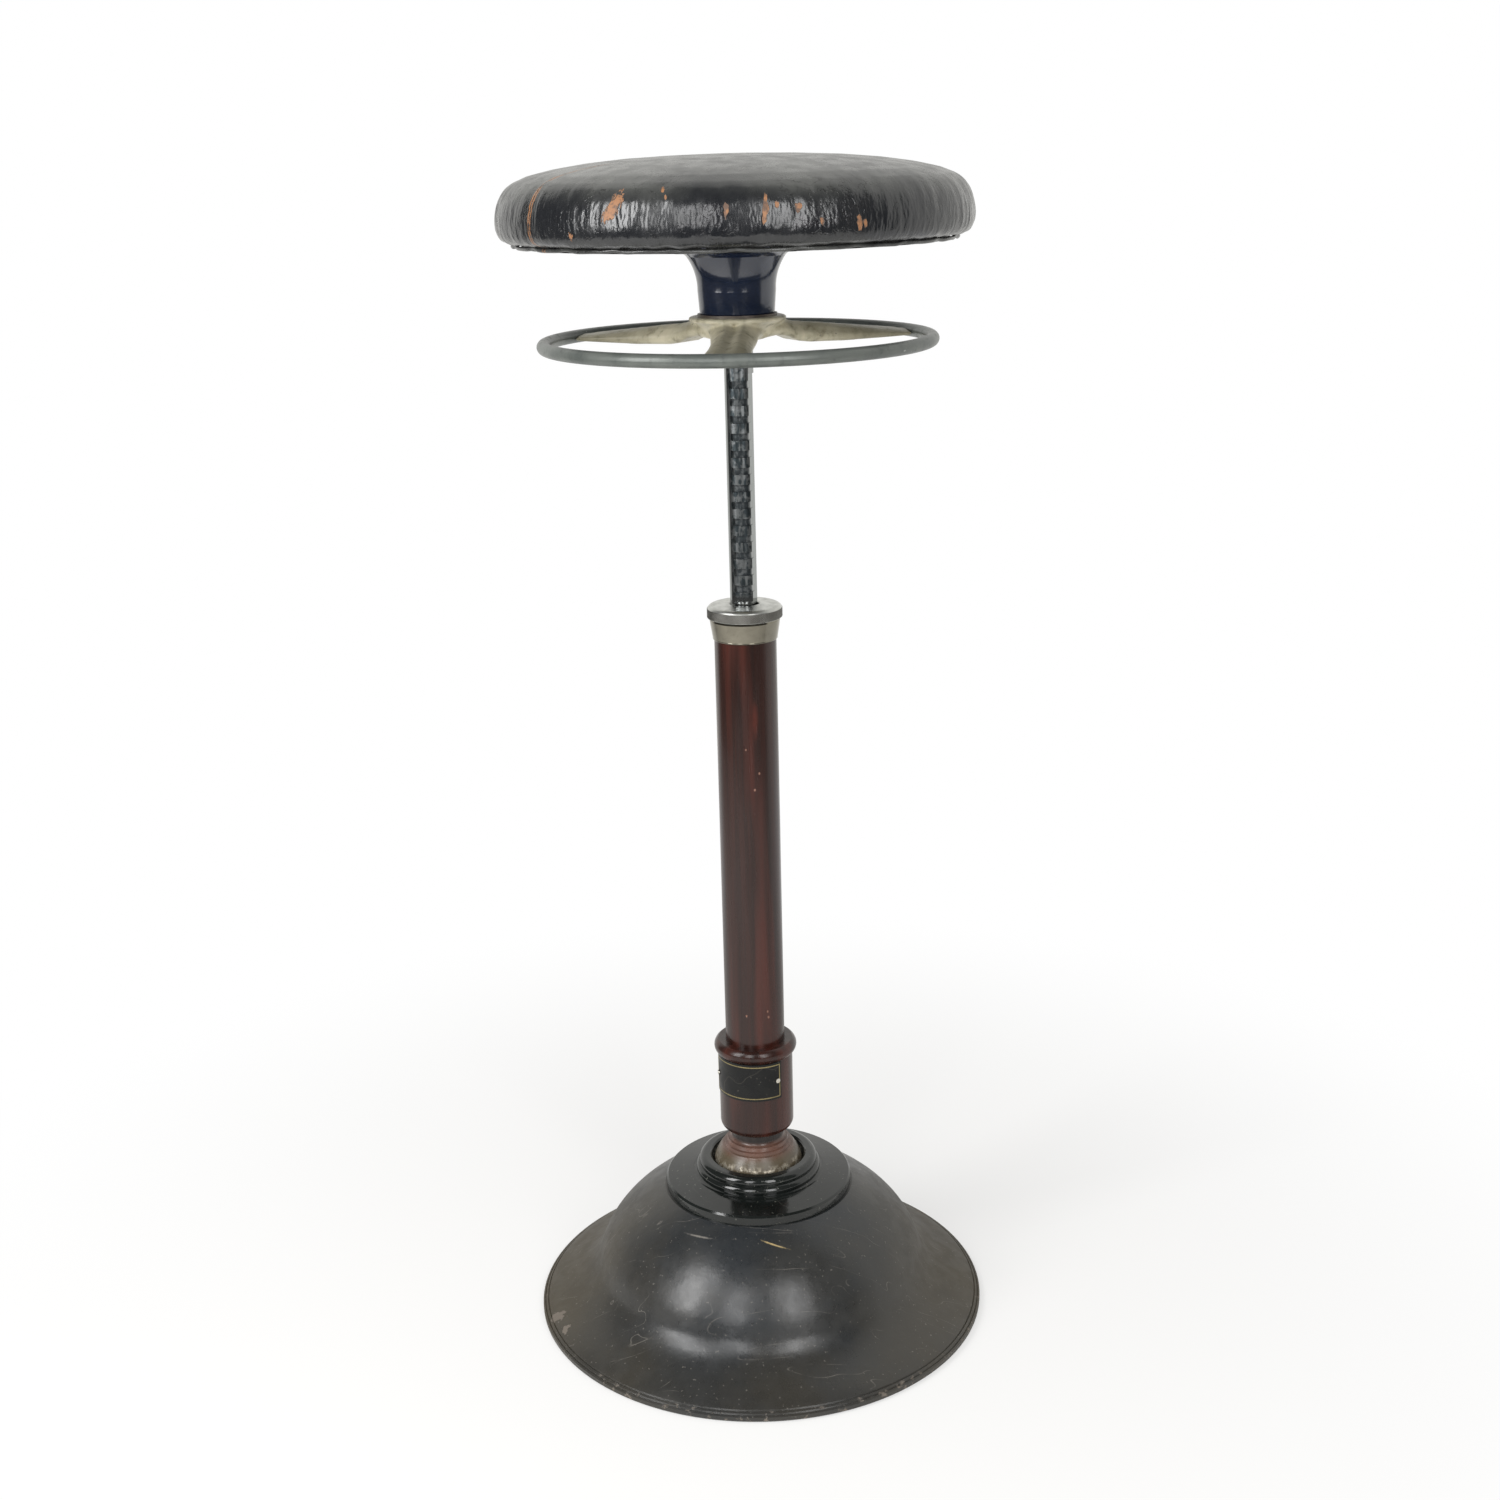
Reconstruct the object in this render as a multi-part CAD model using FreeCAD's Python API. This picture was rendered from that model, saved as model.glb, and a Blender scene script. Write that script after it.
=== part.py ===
import FreeCAD, Part
import math
import os

os.makedirs("parts", exist_ok=True)
V = FreeCAD.Vector

# Sizes are in millimetres. The floor is z = 0, the column stands on the z axis
# and the front of the stool looks along -y.

# Fits, used all over
SLIP = 0.05
RUN = 0.08
SOCKET_GAP = 0.3
HOLE_GAP = 0.2

# Cast base
RIM_RADIUS = 189.3
RIM_EDGE = 5.0
RIM_LAND = 14.0
RIM_CHAMFER = 1.8
BROW_WIDTH = 5.3
BROW_RISE = 3.5
LINE_DEPTH = 0.9
DOME_HEIGHT = 108.0
DOME_CROWN_GAP = 1.5
DOME_WALL = 8.0
PAD_THICKNESS = 12.0

# Ball, its socket and the cross pin
BALL_RADIUS = 38.5
PIVOT_RISE = 12.0
FLANGE_RADIUS = 78.5
FLANGE_THICKNESS = 8.8
FLANGE_SLOPE = 3.6
LIP_RISE = 10.0
LIP_RADIUS = 39.5
ROLL_HEIGHT = 7.0
UPPER_ROLL_RADIUS = 49.6
LOWER_ROLL_RADIUS = 52.8
CUP_RADIUS = 50.0
CUP_FLANGE_RADIUS = 70.0
CUP_FLANGE_THICKNESS = 8.0
CUP_SKIRT = 12.0
PIN_RADIUS = 4.0
PIN_REACH = 5.0
SLOT_RISE = 10.6
SOCKET_BOLTS = 6
SOCKET_BOLT_CIRCLE = 61.0
SOCKET_BOLT_RADIUS = 4.0
SOCKET_BOLT_BITE = 7.0

# Return spring under the ball
STEM_RADIUS = 10.0
STEM_OPENING = 22.0
SPRING_PLATE_THICKNESS = 3.0
SPRING_RADIUS = 31.0
SPRING_WIRE = 5.2
SPRING_LENGTH = 32.0
SPRING_TURNS = 4
SPRING_WASHER_THICKNESS = 4.0
STEM_NUT_HEIGHT = 10.0
STEM_NUT_RADIUS = 17.0
STEM_TAIL = 4.0

# Column
NECK_RADIUS = 21.5
COLLAR_LIFT = 40.6
COLLAR_RADIUS = 30.8
COLLAR_HEIGHT = 69.4
COLLAR_EDGE = 7.4
BEAD_RADIUS = 34.35
BEAD_HEIGHT = 12.0
SPIGOT_RADIUS = 18.0
SPIGOT_LENGTH = 28.0
TUBE_RADIUS = 24.5
TUBE_WALL = 2.5
TUBE_INSERT = 50.0
TUBE_LENGTH = 412.5
PLATE_THICKNESS = 0.8
PLATE_HEIGHT = 34.0
PLATE_HALF_ANGLE = 62.0
PLATE_AZIMUTH = -111.0
RIVET_INSET = 7.0

# Head of the column
FERRULE_DROP = 19.5
FERRULE_HEIGHT = 17.4
FERRULE_FOOT_RADIUS = 25.6
FERRULE_TOP_RADIUS = 27.8
SCREWED_RADIUS = 26.2
SCREWED_HEIGHT = 5.0
CAP_RADIUS = 29.2
KNURL_HEIGHT = 7.4
CAP_DOME = 2.6
CAP_BEVEL = 4.0
CAP_HOLE_GAP = 0.3
BUSH_FLANGE = 3.5
BUSH_LENGTH = 46.0

# Height rod, its notches and the latch pin
ROD_RADIUS = 11.1
NOTCH_DEPTH = 2.4
NOTCH_HEIGHT = 5.5
NOTCH_PITCH = 13.05
NOTCHES_DOWN = 14
NOTCHES_UP = 2
NOTCH_SWEEP = 118.0
KEYWAY_AZIMUTH = -14.0
KEYWAY_PAST_NOTCH = 8.0
LATCH_DROP = 4.3
LATCH_RADIUS = 2.5
LATCH_GAP = 0.25
LATCH_SINK = 0.4
ROD_DEPTH = 194.5
GUIDE_HEIGHT = 30.0
GUIDE_JOURNAL = 9.0
GUIDE_WASHER = 2.0

# Handwheel
HUB_RISE = 208.0
HUB_HEIGHT = 17.5
HUB_RADIUS = 37.0
HUB_FOOT_RADIUS = 21.0
WHEEL_RADIUS = 146.0
WHEEL_TUBE = 4.95
WHEEL_DROP = 1.4
WHEEL_ARMS = 3
WHEEL_AZIMUTH = -94.0
ARM_HALF_WIDTH = 18.0
ARM_CREASE = 3.4

# Seat
THRUST_WASHER_RADIUS = 30.0
THRUST_WASHER_THICKNESS = 1.7
JOURNAL_RADIUS = 9.5
NECK_HEIGHT = 51.3
NECK_FOOT_RADIUS = 28.2
NECK_FLANGE_RADIUS = 62.0
NECK_FLANGE_THICKNESS = 3.6
NECK_BUSH_RADIUS = 14.0
NECK_BUSH_LENGTH = 36.0
SPINDLE_WASHER = 2.5
SPINDLE_HEAD = 5.0
NECK_SCREWS = 4
NECK_SCREW_INSET = 6.0
NECK_SCREW_RADIUS = 2.5
NECK_SCREW_HEAD = 1.9
BOARD_INSET = 19.5
BOARD_THICKNESS = 13.4
SEAT_RADIUS = 177.5
SEAT_HEIGHT = 62.1
HIDE_LIFT = 1.6
HIDE_THICKNESS = 2.5
BULGE_LIFT = 24.4
SHOULDER_LIFT = 43.0
SHOULDER_INSET = 9.0
SKIRT_SHOW = 4.6
COVER_ROLL_HEIGHT = 10.0
COVER_ROLL_INSET = 1.8
TACK_COUNT = 24
TACK_RADIUS = 1.7
TACK_SHANK = 0.8
TACK_BITE = 8.0
TACK_HEAD = 1.0


def at(radius, angle, height):
    """Point at a radius and an angle in degrees about the column."""
    turn = math.radians(angle)
    return V(radius * math.cos(turn), radius * math.sin(turn), height)


def turned(outline):
    """Solid turned about the z axis; a step of two points is an arc."""
    first = V(outline[0][0], 0, outline[0][1])
    here = first
    edges = []
    for step in outline[1:]:
        if len(step) == 4:
            there = V(step[2], 0, step[3])
            edges.append(Part.Arc(here, V(step[0], 0, step[1]), there).toShape())
        else:
            there = V(step[0], 0, step[1])
            edges.append(Part.makeLine(here, there))
        here = there
    if here.distanceToPoint(first) > 1e-6:
        edges.append(Part.makeLine(here, first))
    face = Part.Face(Part.Wire(edges))
    return face.revolve(V(0, 0, 0), V(0, 0, 1), 360)


def ring(outer, inner, low, high):
    """Plain ring or washer between two heights."""
    return turned([(inner, low), (outer, low), (outer, high), (inner, high)])


def rod_at(radius, low, high):
    """Plain round bar on the z axis."""
    return Part.makeCylinder(radius, high - low, V(0, 0, low))


def crown_mid(radius, low, high):
    """Point half way along a cap of a sphere, between its edge and its top."""
    rise = high - low
    ball = (radius ** 2 + rise ** 2) / (2 * rise)
    half = math.asin(radius / ball) / 2
    return (ball * math.sin(half), high - ball + ball * math.cos(half))


def hexagon(radius, low, high, x=0, y=0):
    """Hexagon prism, such as a nut or the head of a bolt."""
    corners = []
    for side in range(7):
        turn = math.radians(60 * side)
        corners.append(V(x + radius * math.cos(turn), y + radius * math.sin(turn), low))
    return Part.Face(Part.makePolygon(corners)).extrude(V(0, 0, high - low))


def radial(radius, angle, height, start, end):
    """Round bar that lies along a radius of the column."""
    return Part.makeCylinder(radius, end - start, at(start, angle, height), at(1, angle, 0))


def together(solids):
    """Several separate solids that make one node."""
    return Part.makeCompound(solids)


def keep(node, shape):
    """Write one node."""
    shape.exportStep("parts/" + node + ".step")


# Heights that several pieces share
pivot_z = DOME_HEIGHT + PIVOT_RISE
collar_z = pivot_z + COLLAR_LIFT
collar_top = collar_z + COLLAR_HEIGHT + BEAD_HEIGHT
tube_z = collar_top - TUBE_INSERT
tube_top = tube_z + TUBE_LENGTH
cap_z = tube_top - FERRULE_DROP + FERRULE_HEIGHT
latch_z = tube_top - LATCH_DROP
seat_gap = BALL_RADIUS + SOCKET_GAP
tube_bore = TUBE_RADIUS - TUBE_WALL
hub_z = tube_top + BUSH_FLANGE + HUB_RISE
hub_top = hub_z + HUB_HEIGHT
neck_z = hub_top + THRUST_WASHER_THICKNESS
board_z = neck_z + NECK_HEIGHT
board_radius = SEAT_RADIUS - BOARD_INSET
rod_z = tube_top - ROD_DEPTH

# Cast dome: a rim with fine turned lines, a flare, a full round shoulder and a flat pad on top.
# Each pair is a share of the way from the flange to the brow and a share of the way up.
DOME_CURVE = (
    (0.81, 0.11), (0.66, 0.212), (0.585, 0.305), (0.55, 0.40), (0.475, 0.56),
    (0.36, 0.715), (0.21, 0.855),
)
brow = (RIM_RADIUS - BROW_WIDTH, RIM_EDGE + BROW_RISE)
crown = (FLANGE_RADIUS + DOME_CROWN_GAP, DOME_HEIGHT)


def dome_curve(start, end):
    """Edge of the dome's smooth side, from its foot to its crown."""
    points = [V(start[0], 0, start[1])]
    for along, up in DOME_CURVE:
        points.append(V(end[0] + along * (start[0] - end[0]), 0, start[1] + up * (end[1] - start[1])))
    points.append(V(end[0], 0, end[1]))
    curve = Part.BSplineCurve()
    curve.interpolate(points)
    return curve.toShape()


inner_rim = (RIM_RADIUS - RIM_LAND, 0)
inner_crown = (FLANGE_RADIUS - DOME_WALL / 2, DOME_HEIGHT - PAD_THICKNESS)
line_step = BROW_WIDTH / 4
line_rise = BROW_RISE / 4
rim_points = [inner_rim, (RIM_RADIUS - RIM_CHAMFER, 0), (RIM_RADIUS, RIM_CHAMFER), (RIM_RADIUS, RIM_EDGE)]
for first in (1, 3):
    rim_points.append((RIM_RADIUS - first * line_step, RIM_EDGE + first * line_rise))
    low = RIM_EDGE + (first + 0.5) * line_rise - LINE_DEPTH
    rim_points.append((RIM_RADIUS - (first + 0.5) * line_step, low))
    rim_points.append((RIM_RADIUS - (first + 1) * line_step, RIM_EDGE + (first + 1) * line_rise))
pad_bore = CUP_RADIUS + SLIP
pad_points = [crown, (pad_bore, DOME_HEIGHT), (pad_bore, DOME_HEIGHT - PAD_THICKNESS), inner_crown]
dome_edges = [dome_curve(brow, crown), dome_curve(inner_rim, inner_crown)]
for points in (rim_points, pad_points):
    for start, end in zip(points, points[1:]):
        dome_edges.append(Part.makeLine(V(start[0], 0, start[1]), V(end[0], 0, end[1])))
dome_face = Part.Face(Part.Wire(Part.__sortEdges__(dome_edges)))
dome = dome_face.revolve(V(0, 0, 0), V(0, 0, 1), 360)

# Socket ring: a flange with two round steps, hollowed to hold the ball from above
lip_z = pivot_z + LIP_RISE
lip_seat = math.sqrt(seat_gap ** 2 - LIP_RISE ** 2)
foot_seat = math.sqrt(seat_gap ** 2 - PIVOT_RISE ** 2)
flange_top = DOME_HEIGHT + FLANGE_THICKNESS
slope_top = flange_top + FLANGE_SLOPE
roll_z = slope_top + 2 * ROLL_HEIGHT + 0.3
upper_round = UPPER_ROLL_RADIUS - ROLL_HEIGHT / 2
half_roll = ROLL_HEIGHT / 2
ring_outline = [
    (foot_seat, DOME_HEIGHT),
    (FLANGE_RADIUS, DOME_HEIGHT),
    (FLANGE_RADIUS, flange_top - 1.5),
    (FLANGE_RADIUS - 1.5, flange_top),
    (LOWER_ROLL_RADIUS + 3.0, slope_top - 0.3),
    (LOWER_ROLL_RADIUS + 0.6, slope_top, LOWER_ROLL_RADIUS - 0.6, slope_top + 0.7),
    (LOWER_ROLL_RADIUS, slope_top + half_roll, UPPER_ROLL_RADIUS, roll_z - ROLL_HEIGHT),
    (UPPER_ROLL_RADIUS - 0.2, roll_z - 2.6, upper_round - 1.0, roll_z),
    (LIP_RADIUS + 1.2, roll_z),
    (LIP_RADIUS, roll_z - 1.2),
    (lip_seat + 0.7, lip_z + 0.7, lip_seat, lip_z),
    (seat_gap, pivot_z, foot_seat, DOME_HEIGHT),
]
socket = turned(ring_outline)
slot_half = PIN_RADIUS + RUN
slot_end = BALL_RADIUS + PIN_REACH + 1.0
slot_start = BALL_RADIUS - 4.0
slot_low = DOME_HEIGHT - 1.0
slot_high = pivot_z + SLOT_RISE
for side in (-1, 1):
    corner = V(min(side * slot_start, side * slot_end), -slot_half, slot_low)
    slot = Part.makeBox(slot_end - slot_start, 2 * slot_half, slot_high - slot_low, corner)
    socket = socket.cut(slot)

# Socket cup: carries the ball from below and hangs under the pad of the dome
cup_flange_z = DOME_HEIGHT - PAD_THICKNESS
cup_foot = cup_flange_z - CUP_FLANGE_THICKNESS - CUP_SKIRT
opening_drop = math.sqrt(seat_gap ** 2 - STEM_OPENING ** 2)
opening_z = pivot_z - opening_drop
arc_mid = math.radians(0.5 * (math.degrees(math.asin(STEM_OPENING / seat_gap))
                              + math.degrees(math.acos(PIVOT_RISE / seat_gap))))
cup_outline = [
    (foot_seat, DOME_HEIGHT),
    (seat_gap * math.sin(arc_mid), pivot_z - seat_gap * math.cos(arc_mid), STEM_OPENING, opening_z),
    (STEM_OPENING + 0.35 * (opening_z - cup_foot), cup_foot),
    (CUP_RADIUS - 6.0, cup_foot),
    (CUP_RADIUS, cup_flange_z - CUP_FLANGE_THICKNESS),
    (CUP_FLANGE_RADIUS, cup_flange_z - CUP_FLANGE_THICKNESS),
    (CUP_FLANGE_RADIUS, cup_flange_z),
    (CUP_RADIUS, cup_flange_z),
    (CUP_RADIUS, DOME_HEIGHT),
]
cup = turned(cup_outline)

# Bolts that draw cup, dome and socket ring together, put in from below
bolt_solids = []
bolt_top = DOME_HEIGHT + SOCKET_BOLT_BITE
for number in range(SOCKET_BOLTS):
    angle = 360.0 / SOCKET_BOLTS * (number + 0.5)
    place = at(SOCKET_BOLT_CIRCLE, angle, 0)
    seat = cup_flange_z - CUP_FLANGE_THICKNESS
    shank = Part.makeCylinder(SOCKET_BOLT_RADIUS, bolt_top - seat, V(place.x, place.y, seat))
    head = hexagon(1.8 * SOCKET_BOLT_RADIUS, seat - 1.3 * SOCKET_BOLT_RADIUS, seat, place.x, place.y)
    bolt_solids.append(shank.fuse(head).removeSplitter())
    below = V(place.x, place.y, seat - 1)
    hole = Part.makeCylinder(SOCKET_BOLT_RADIUS + HOLE_GAP, bolt_top - seat + 2, below)
    cup = cup.cut(hole)
    dome = dome.cut(hole)
    tapped = Part.makeCylinder(SOCKET_BOLT_RADIUS + SLIP, bolt_top - seat + 0.5, V(place.x, place.y, seat))
    socket = socket.cut(tapped)
keep("base_dome", dome)
keep("socket_ring", socket)
keep("socket_cup", cup)
keep("socket_bolts", together(bolt_solids))

# Cross pin: lets the ball roll both ways and keeps the column from spinning
pin_end = BALL_RADIUS + PIN_REACH
cross_pin = Part.makeCylinder(PIN_RADIUS, 2 * pin_end, V(-pin_end, 0, pivot_z), V(1, 0, 0))
keep("cross_pin", cross_pin.makeChamfer(0.6, cross_pin.Edges[0:1] + cross_pin.Edges[2:3]))

# Spring, plate, washer and nut under the socket
plate_z = cup_foot - SPRING_PLATE_THICKNESS
spring_foot = plate_z - SPRING_LENGTH
washer_z = spring_foot - SPRING_WASHER_THICKNESS
nut_z = washer_z - STEM_NUT_HEIGHT
stem_z = nut_z - STEM_TAIL
coil_outer = SPRING_RADIUS + SPRING_WIRE / 2
plate_hole = STEM_OPENING + 0.35 * (opening_z - cup_foot)
keep("spring_plate", ring(coil_outer + 4.0, plate_hole, plate_z, cup_foot))
coil_gap = 2 * SLIP
coil_rise = SPRING_LENGTH - SPRING_WIRE - 2 * coil_gap
helix = Part.makeHelix(coil_rise / SPRING_TURNS, coil_rise, SPRING_RADIUS)
wire_round = Part.Wire(Part.makeCircle(SPRING_WIRE / 2, V(SPRING_RADIUS, 0, 0), V(0, 1, 0)))
coil = Part.Wire(helix).makePipeShell([wire_round], True, True)
coil.translate(V(0, 0, spring_foot + SPRING_WIRE / 2 + coil_gap))
keep("return_spring", coil)
keep("spring_washer", ring(coil_outer + 4.0, STEM_RADIUS + SLIP, washer_z, spring_foot))
stem_nut = hexagon(STEM_NUT_RADIUS, nut_z, washer_z).cut(rod_at(STEM_RADIUS + SLIP, nut_z - 1, washer_z + 1))
keep("stem_nut", stem_nut)

# Ball with its turned neck, the spigot above and the threaded stem below
step_one = pivot_z + 0.62 * BALL_RADIUS
step_one_radius = math.sqrt(BALL_RADIUS ** 2 - (step_one - pivot_z) ** 2)
step_two = step_one + 3.0
step_three = step_two + 4.0
ball_foot = pivot_z - math.sqrt(BALL_RADIUS ** 2 - (STEM_RADIUS + 2.0) ** 2)
ball_outline = [
    (0, stem_z),
    (STEM_RADIUS - 1.5, stem_z),
    (STEM_RADIUS, stem_z + 1.5),
    (STEM_RADIUS, ball_foot - 4.0),
    (STEM_RADIUS + 2.0, ball_foot),
    (BALL_RADIUS, pivot_z, step_one_radius, step_one),
    (step_one_radius - 1.6, step_one + 0.4),
    (step_one_radius - 2.2, step_two),
    (step_one_radius - 4.0, step_two + 0.4),
    (step_one_radius - 5.0, step_three - 0.6),
    (NECK_RADIUS + 0.6, step_three + 0.6, NECK_RADIUS, step_three + 2.6),
    (NECK_RADIUS, collar_z),
    (SPIGOT_RADIUS, collar_z),
    (SPIGOT_RADIUS, collar_z + SPIGOT_LENGTH - 1.5),
    (SPIGOT_RADIUS - 1.5, collar_z + SPIGOT_LENGTH),
    (0, collar_z + SPIGOT_LENGTH),
]
ball = turned(ball_outline)
pin_hole = Part.makeCylinder(PIN_RADIUS + SLIP, 4 * BALL_RADIUS, V(-2 * BALL_RADIUS, 0, pivot_z), V(1, 0, 0))
keep("ball_stem", ball.cut(pin_hole))

# Collar that joins the ball to the tube, with a half round bead on top
body_top = collar_z + COLLAR_HEIGHT
bead_mid = body_top + BEAD_HEIGHT / 2
edge_share = 0.29 * COLLAR_EDGE
collar_outline = [
    (SPIGOT_RADIUS + SLIP, collar_z),
    (NECK_RADIUS + 1.5, collar_z),
    (COLLAR_RADIUS - edge_share, collar_z + edge_share, COLLAR_RADIUS, collar_z + COLLAR_EDGE),
    (COLLAR_RADIUS, body_top),
    (BEAD_RADIUS, bead_mid, COLLAR_RADIUS, collar_top),
    (TUBE_RADIUS + SLIP, collar_top),
    (TUBE_RADIUS + SLIP, tube_z),
    (SPIGOT_RADIUS + SLIP, tube_z),
]
collar = turned(collar_outline)
screw_levels = (collar_z + 0.55 * SPIGOT_LENGTH, tube_z + 0.5 * TUBE_INSERT)
screw_ends = (SPIGOT_RADIUS + SLIP, TUBE_RADIUS + SLIP)
screw_radius = 3.0
grub_screws = []
for level, end in zip(screw_levels, screw_ends):
    bore = radial(screw_radius + SLIP, 90, level, end - 1.0, COLLAR_RADIUS + 2)
    collar = collar.cut(bore)
    grub = radial(screw_radius, 90, level, end, COLLAR_RADIUS - 0.4)
    slit_corner = V(-screw_radius - 1, COLLAR_RADIUS - 1.6, level - 0.5)
    slit = Part.makeBox(2 * screw_radius + 2, 1.2, 1.0, slit_corner)
    grub_screws.append(grub.cut(slit))

# Bare name plate, bent round the collar and held by two rivets
plate_low = body_top - PLATE_HEIGHT + 1.0
plate_inner = COLLAR_RADIUS + SLIP
plate_outer = plate_inner + PLATE_THICKNESS
name_plate = ring(plate_outer, plate_inner, plate_low, body_top)
wedge_reach = 2 * COLLAR_RADIUS
wedge_points = [V(0, 0, plate_low)]
for part in range(5):
    angle = PLATE_AZIMUTH + PLATE_HALF_ANGLE * (part - 2) / 2
    wedge_points.append(at(wedge_reach, angle, plate_low))
wedge_points.append(wedge_points[0])
wedge = Part.Face(Part.makePolygon(wedge_points)).extrude(V(0, 0, PLATE_HEIGHT))
name_plate = name_plate.common(wedge)
rivets = []
rivet_z = 0.5 * (plate_low + body_top)
for side in (-1, 1):
    angle = PLATE_AZIMUTH + side * (PLATE_HALF_ANGLE - RIVET_INSET)
    shank = radial(1.0, angle, rivet_z, COLLAR_RADIUS - 3.0, plate_outer + 0.2)
    head = radial(2.0, angle, rivet_z, plate_outer + 0.1, plate_outer + 1.0)
    rivets.append(shank.fuse(head).removeSplitter())
    hole = radial(1.0 + SLIP, angle, rivet_z, COLLAR_RADIUS - 3.0 - SLIP, plate_inner + 2)
    collar = collar.cut(hole)
    name_plate = name_plate.cut(hole)
keep("column_collar", collar)
keep("collar_screws", together(grub_screws))
keep("name_plate", name_plate)
keep("name_plate_rivets", together(rivets))

# Column tube with the hole for the latch pin
latch_hole = radial(LATCH_RADIUS + SLIP, KEYWAY_AZIMUTH, latch_z, ROD_RADIUS - 4.0, TUBE_RADIUS + 2)
tube = ring(TUBE_RADIUS, tube_bore, tube_z, tube_top)
keep("column_tube", tube.cut(latch_hole))

# Ferrule: tapered ring on the tube with a screwed neck for the cap
ferrule_z = cap_z - FERRULE_HEIGHT
screwed_top = cap_z + SCREWED_HEIGHT
ferrule_outline = [
    (TUBE_RADIUS + SLIP, ferrule_z),
    (FERRULE_FOOT_RADIUS - 0.7, ferrule_z),
    (FERRULE_FOOT_RADIUS - 0.1, ferrule_z + 0.4, FERRULE_FOOT_RADIUS, ferrule_z + 1.2),
    (FERRULE_TOP_RADIUS, cap_z - 2.0),
    (FERRULE_TOP_RADIUS, cap_z),
    (SCREWED_RADIUS, cap_z),
    (SCREWED_RADIUS, screwed_top),
    (TUBE_RADIUS + SLIP, screwed_top),
]
keep("ferrule", turned(ferrule_outline))

# Guide bush for the rod, with a flange on the end of the tube
bush_top = tube_top + BUSH_FLANGE
rod_bore = ROD_RADIUS + RUN
bush_outline = [
    (rod_bore, tube_top - BUSH_LENGTH),
    (tube_bore - SLIP, tube_top - BUSH_LENGTH),
    (tube_bore - SLIP, tube_top),
    (TUBE_RADIUS - SLIP, tube_top),
    (TUBE_RADIUS - SLIP, bush_top),
    (rod_bore, bush_top),
]
bush = turned(bush_outline)
keep("guide_bush", bush.cut(latch_hole))

# Knurled cap that screws down on the bush
cap_hole = ROD_RADIUS + CAP_HOLE_GAP
knurl_top = cap_z + KNURL_HEIGHT
cap_outline = [
    (SCREWED_RADIUS + SLIP, cap_z),
    (CAP_RADIUS, cap_z),
    (CAP_RADIUS, knurl_top),
    (CAP_RADIUS - 1.1, knurl_top + 1.5, CAP_RADIUS - CAP_BEVEL, knurl_top + CAP_DOME),
    (cap_hole + 1.0, knurl_top + CAP_DOME + 0.8),
    (cap_hole, knurl_top + CAP_DOME),
    (cap_hole, bush_top),
    (SCREWED_RADIUS + SLIP, bush_top),
]
cap = turned(cap_outline)
keep("knurled_cap", cap)

# Latch pin: stands still in the head, in the keyway of the rod or in one of its notches
floor_radius = ROD_RADIUS - NOTCH_DEPTH
latch_tip = floor_radius + LATCH_GAP
keep("latch_pin", radial(LATCH_RADIUS, KEYWAY_AZIMUTH, latch_z, latch_tip, TUBE_RADIUS - LATCH_SINK))

# Height rod: a keyway flat up one side and notches that lead off it round the front
journal_top = rod_z + GUIDE_HEIGHT
spindle_top = neck_z + NECK_BUSH_LENGTH + 0.6
rod_outline = [
    (0, rod_z),
    (GUIDE_JOURNAL, rod_z),
    (GUIDE_JOURNAL, journal_top),
    (ROD_RADIUS - 1.0, journal_top),
    (ROD_RADIUS, journal_top + 1.0),
    (ROD_RADIUS, hub_top),
    (JOURNAL_RADIUS, hub_top),
    (JOURNAL_RADIUS, spindle_top),
    (0, spindle_top),
]
rod = turned(rod_outline)
top_notch = latch_z + NOTCHES_DOWN * NOTCH_PITCH
keyway_top = top_notch + KEYWAY_PAST_NOTCH
cutter = Part.makeBox(2 * ROD_RADIUS, 4 * ROD_RADIUS, keyway_top - journal_top + 2,
                      V(floor_radius, -2 * ROD_RADIUS, journal_top - 2))
cutter.rotate(V(0, 0, 0), V(0, 0, 1), KEYWAY_AZIMUTH)
journal_guard = rod_at(GUIDE_JOURNAL, journal_top - 3, journal_top)
rod = rod.cut(cutter.cut(journal_guard))
for number in range(-NOTCHES_UP, NOTCHES_DOWN + 1):
    level = latch_z + number * NOTCH_PITCH - NOTCH_HEIGHT / 2
    outline = [V(floor_radius, 0, level), V(2 * ROD_RADIUS, 0, level)]
    outline.append(V(2 * ROD_RADIUS, 0, level + NOTCH_HEIGHT))
    outline.append(V(floor_radius, 0, level + NOTCH_HEIGHT))
    outline.append(outline[0])
    groove = Part.Face(Part.makePolygon(outline)).revolve(V(0, 0, 0), V(0, 0, 1), NOTCH_SWEEP)
    groove.rotate(V(0, 0, 0), V(0, 0, 1), KEYWAY_AZIMUTH - NOTCH_SWEEP)
    rod = rod.cut(groove)
screw_hole = 4.0
rod = rod.cut(rod_at(screw_hole + SLIP, rod_z - 1, rod_z + 24))
rod = rod.cut(rod_at(screw_hole + SLIP, spindle_top - 20, spindle_top + 1))
set_angle = WHEEL_AZIMUTH + 180
set_z = hub_z + 0.3 * HUB_HEIGHT
rod = rod.cut(radial(2.6, set_angle, set_z, ROD_RADIUS - 2.0, ROD_RADIUS + 4))
keep("height_rod", rod)

# Guide shoe on the foot of the rod, with the screw and washer that hold it
shoe_top = journal_top - SLIP
keep("guide_shoe", ring(tube_bore - RUN, GUIDE_JOURNAL + SLIP, rod_z + SLIP, shoe_top))
keep("shoe_washer", ring(16.0, screw_hole + SLIP, rod_z - GUIDE_WASHER, rod_z))
shoe_screw = rod_at(screw_hole, rod_z - GUIDE_WASHER, rod_z + 22)
keep("shoe_screw", shoe_screw.fuse(hexagon(7.5, rod_z - GUIDE_WASHER - 5.3, rod_z - GUIDE_WASHER)))

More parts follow.
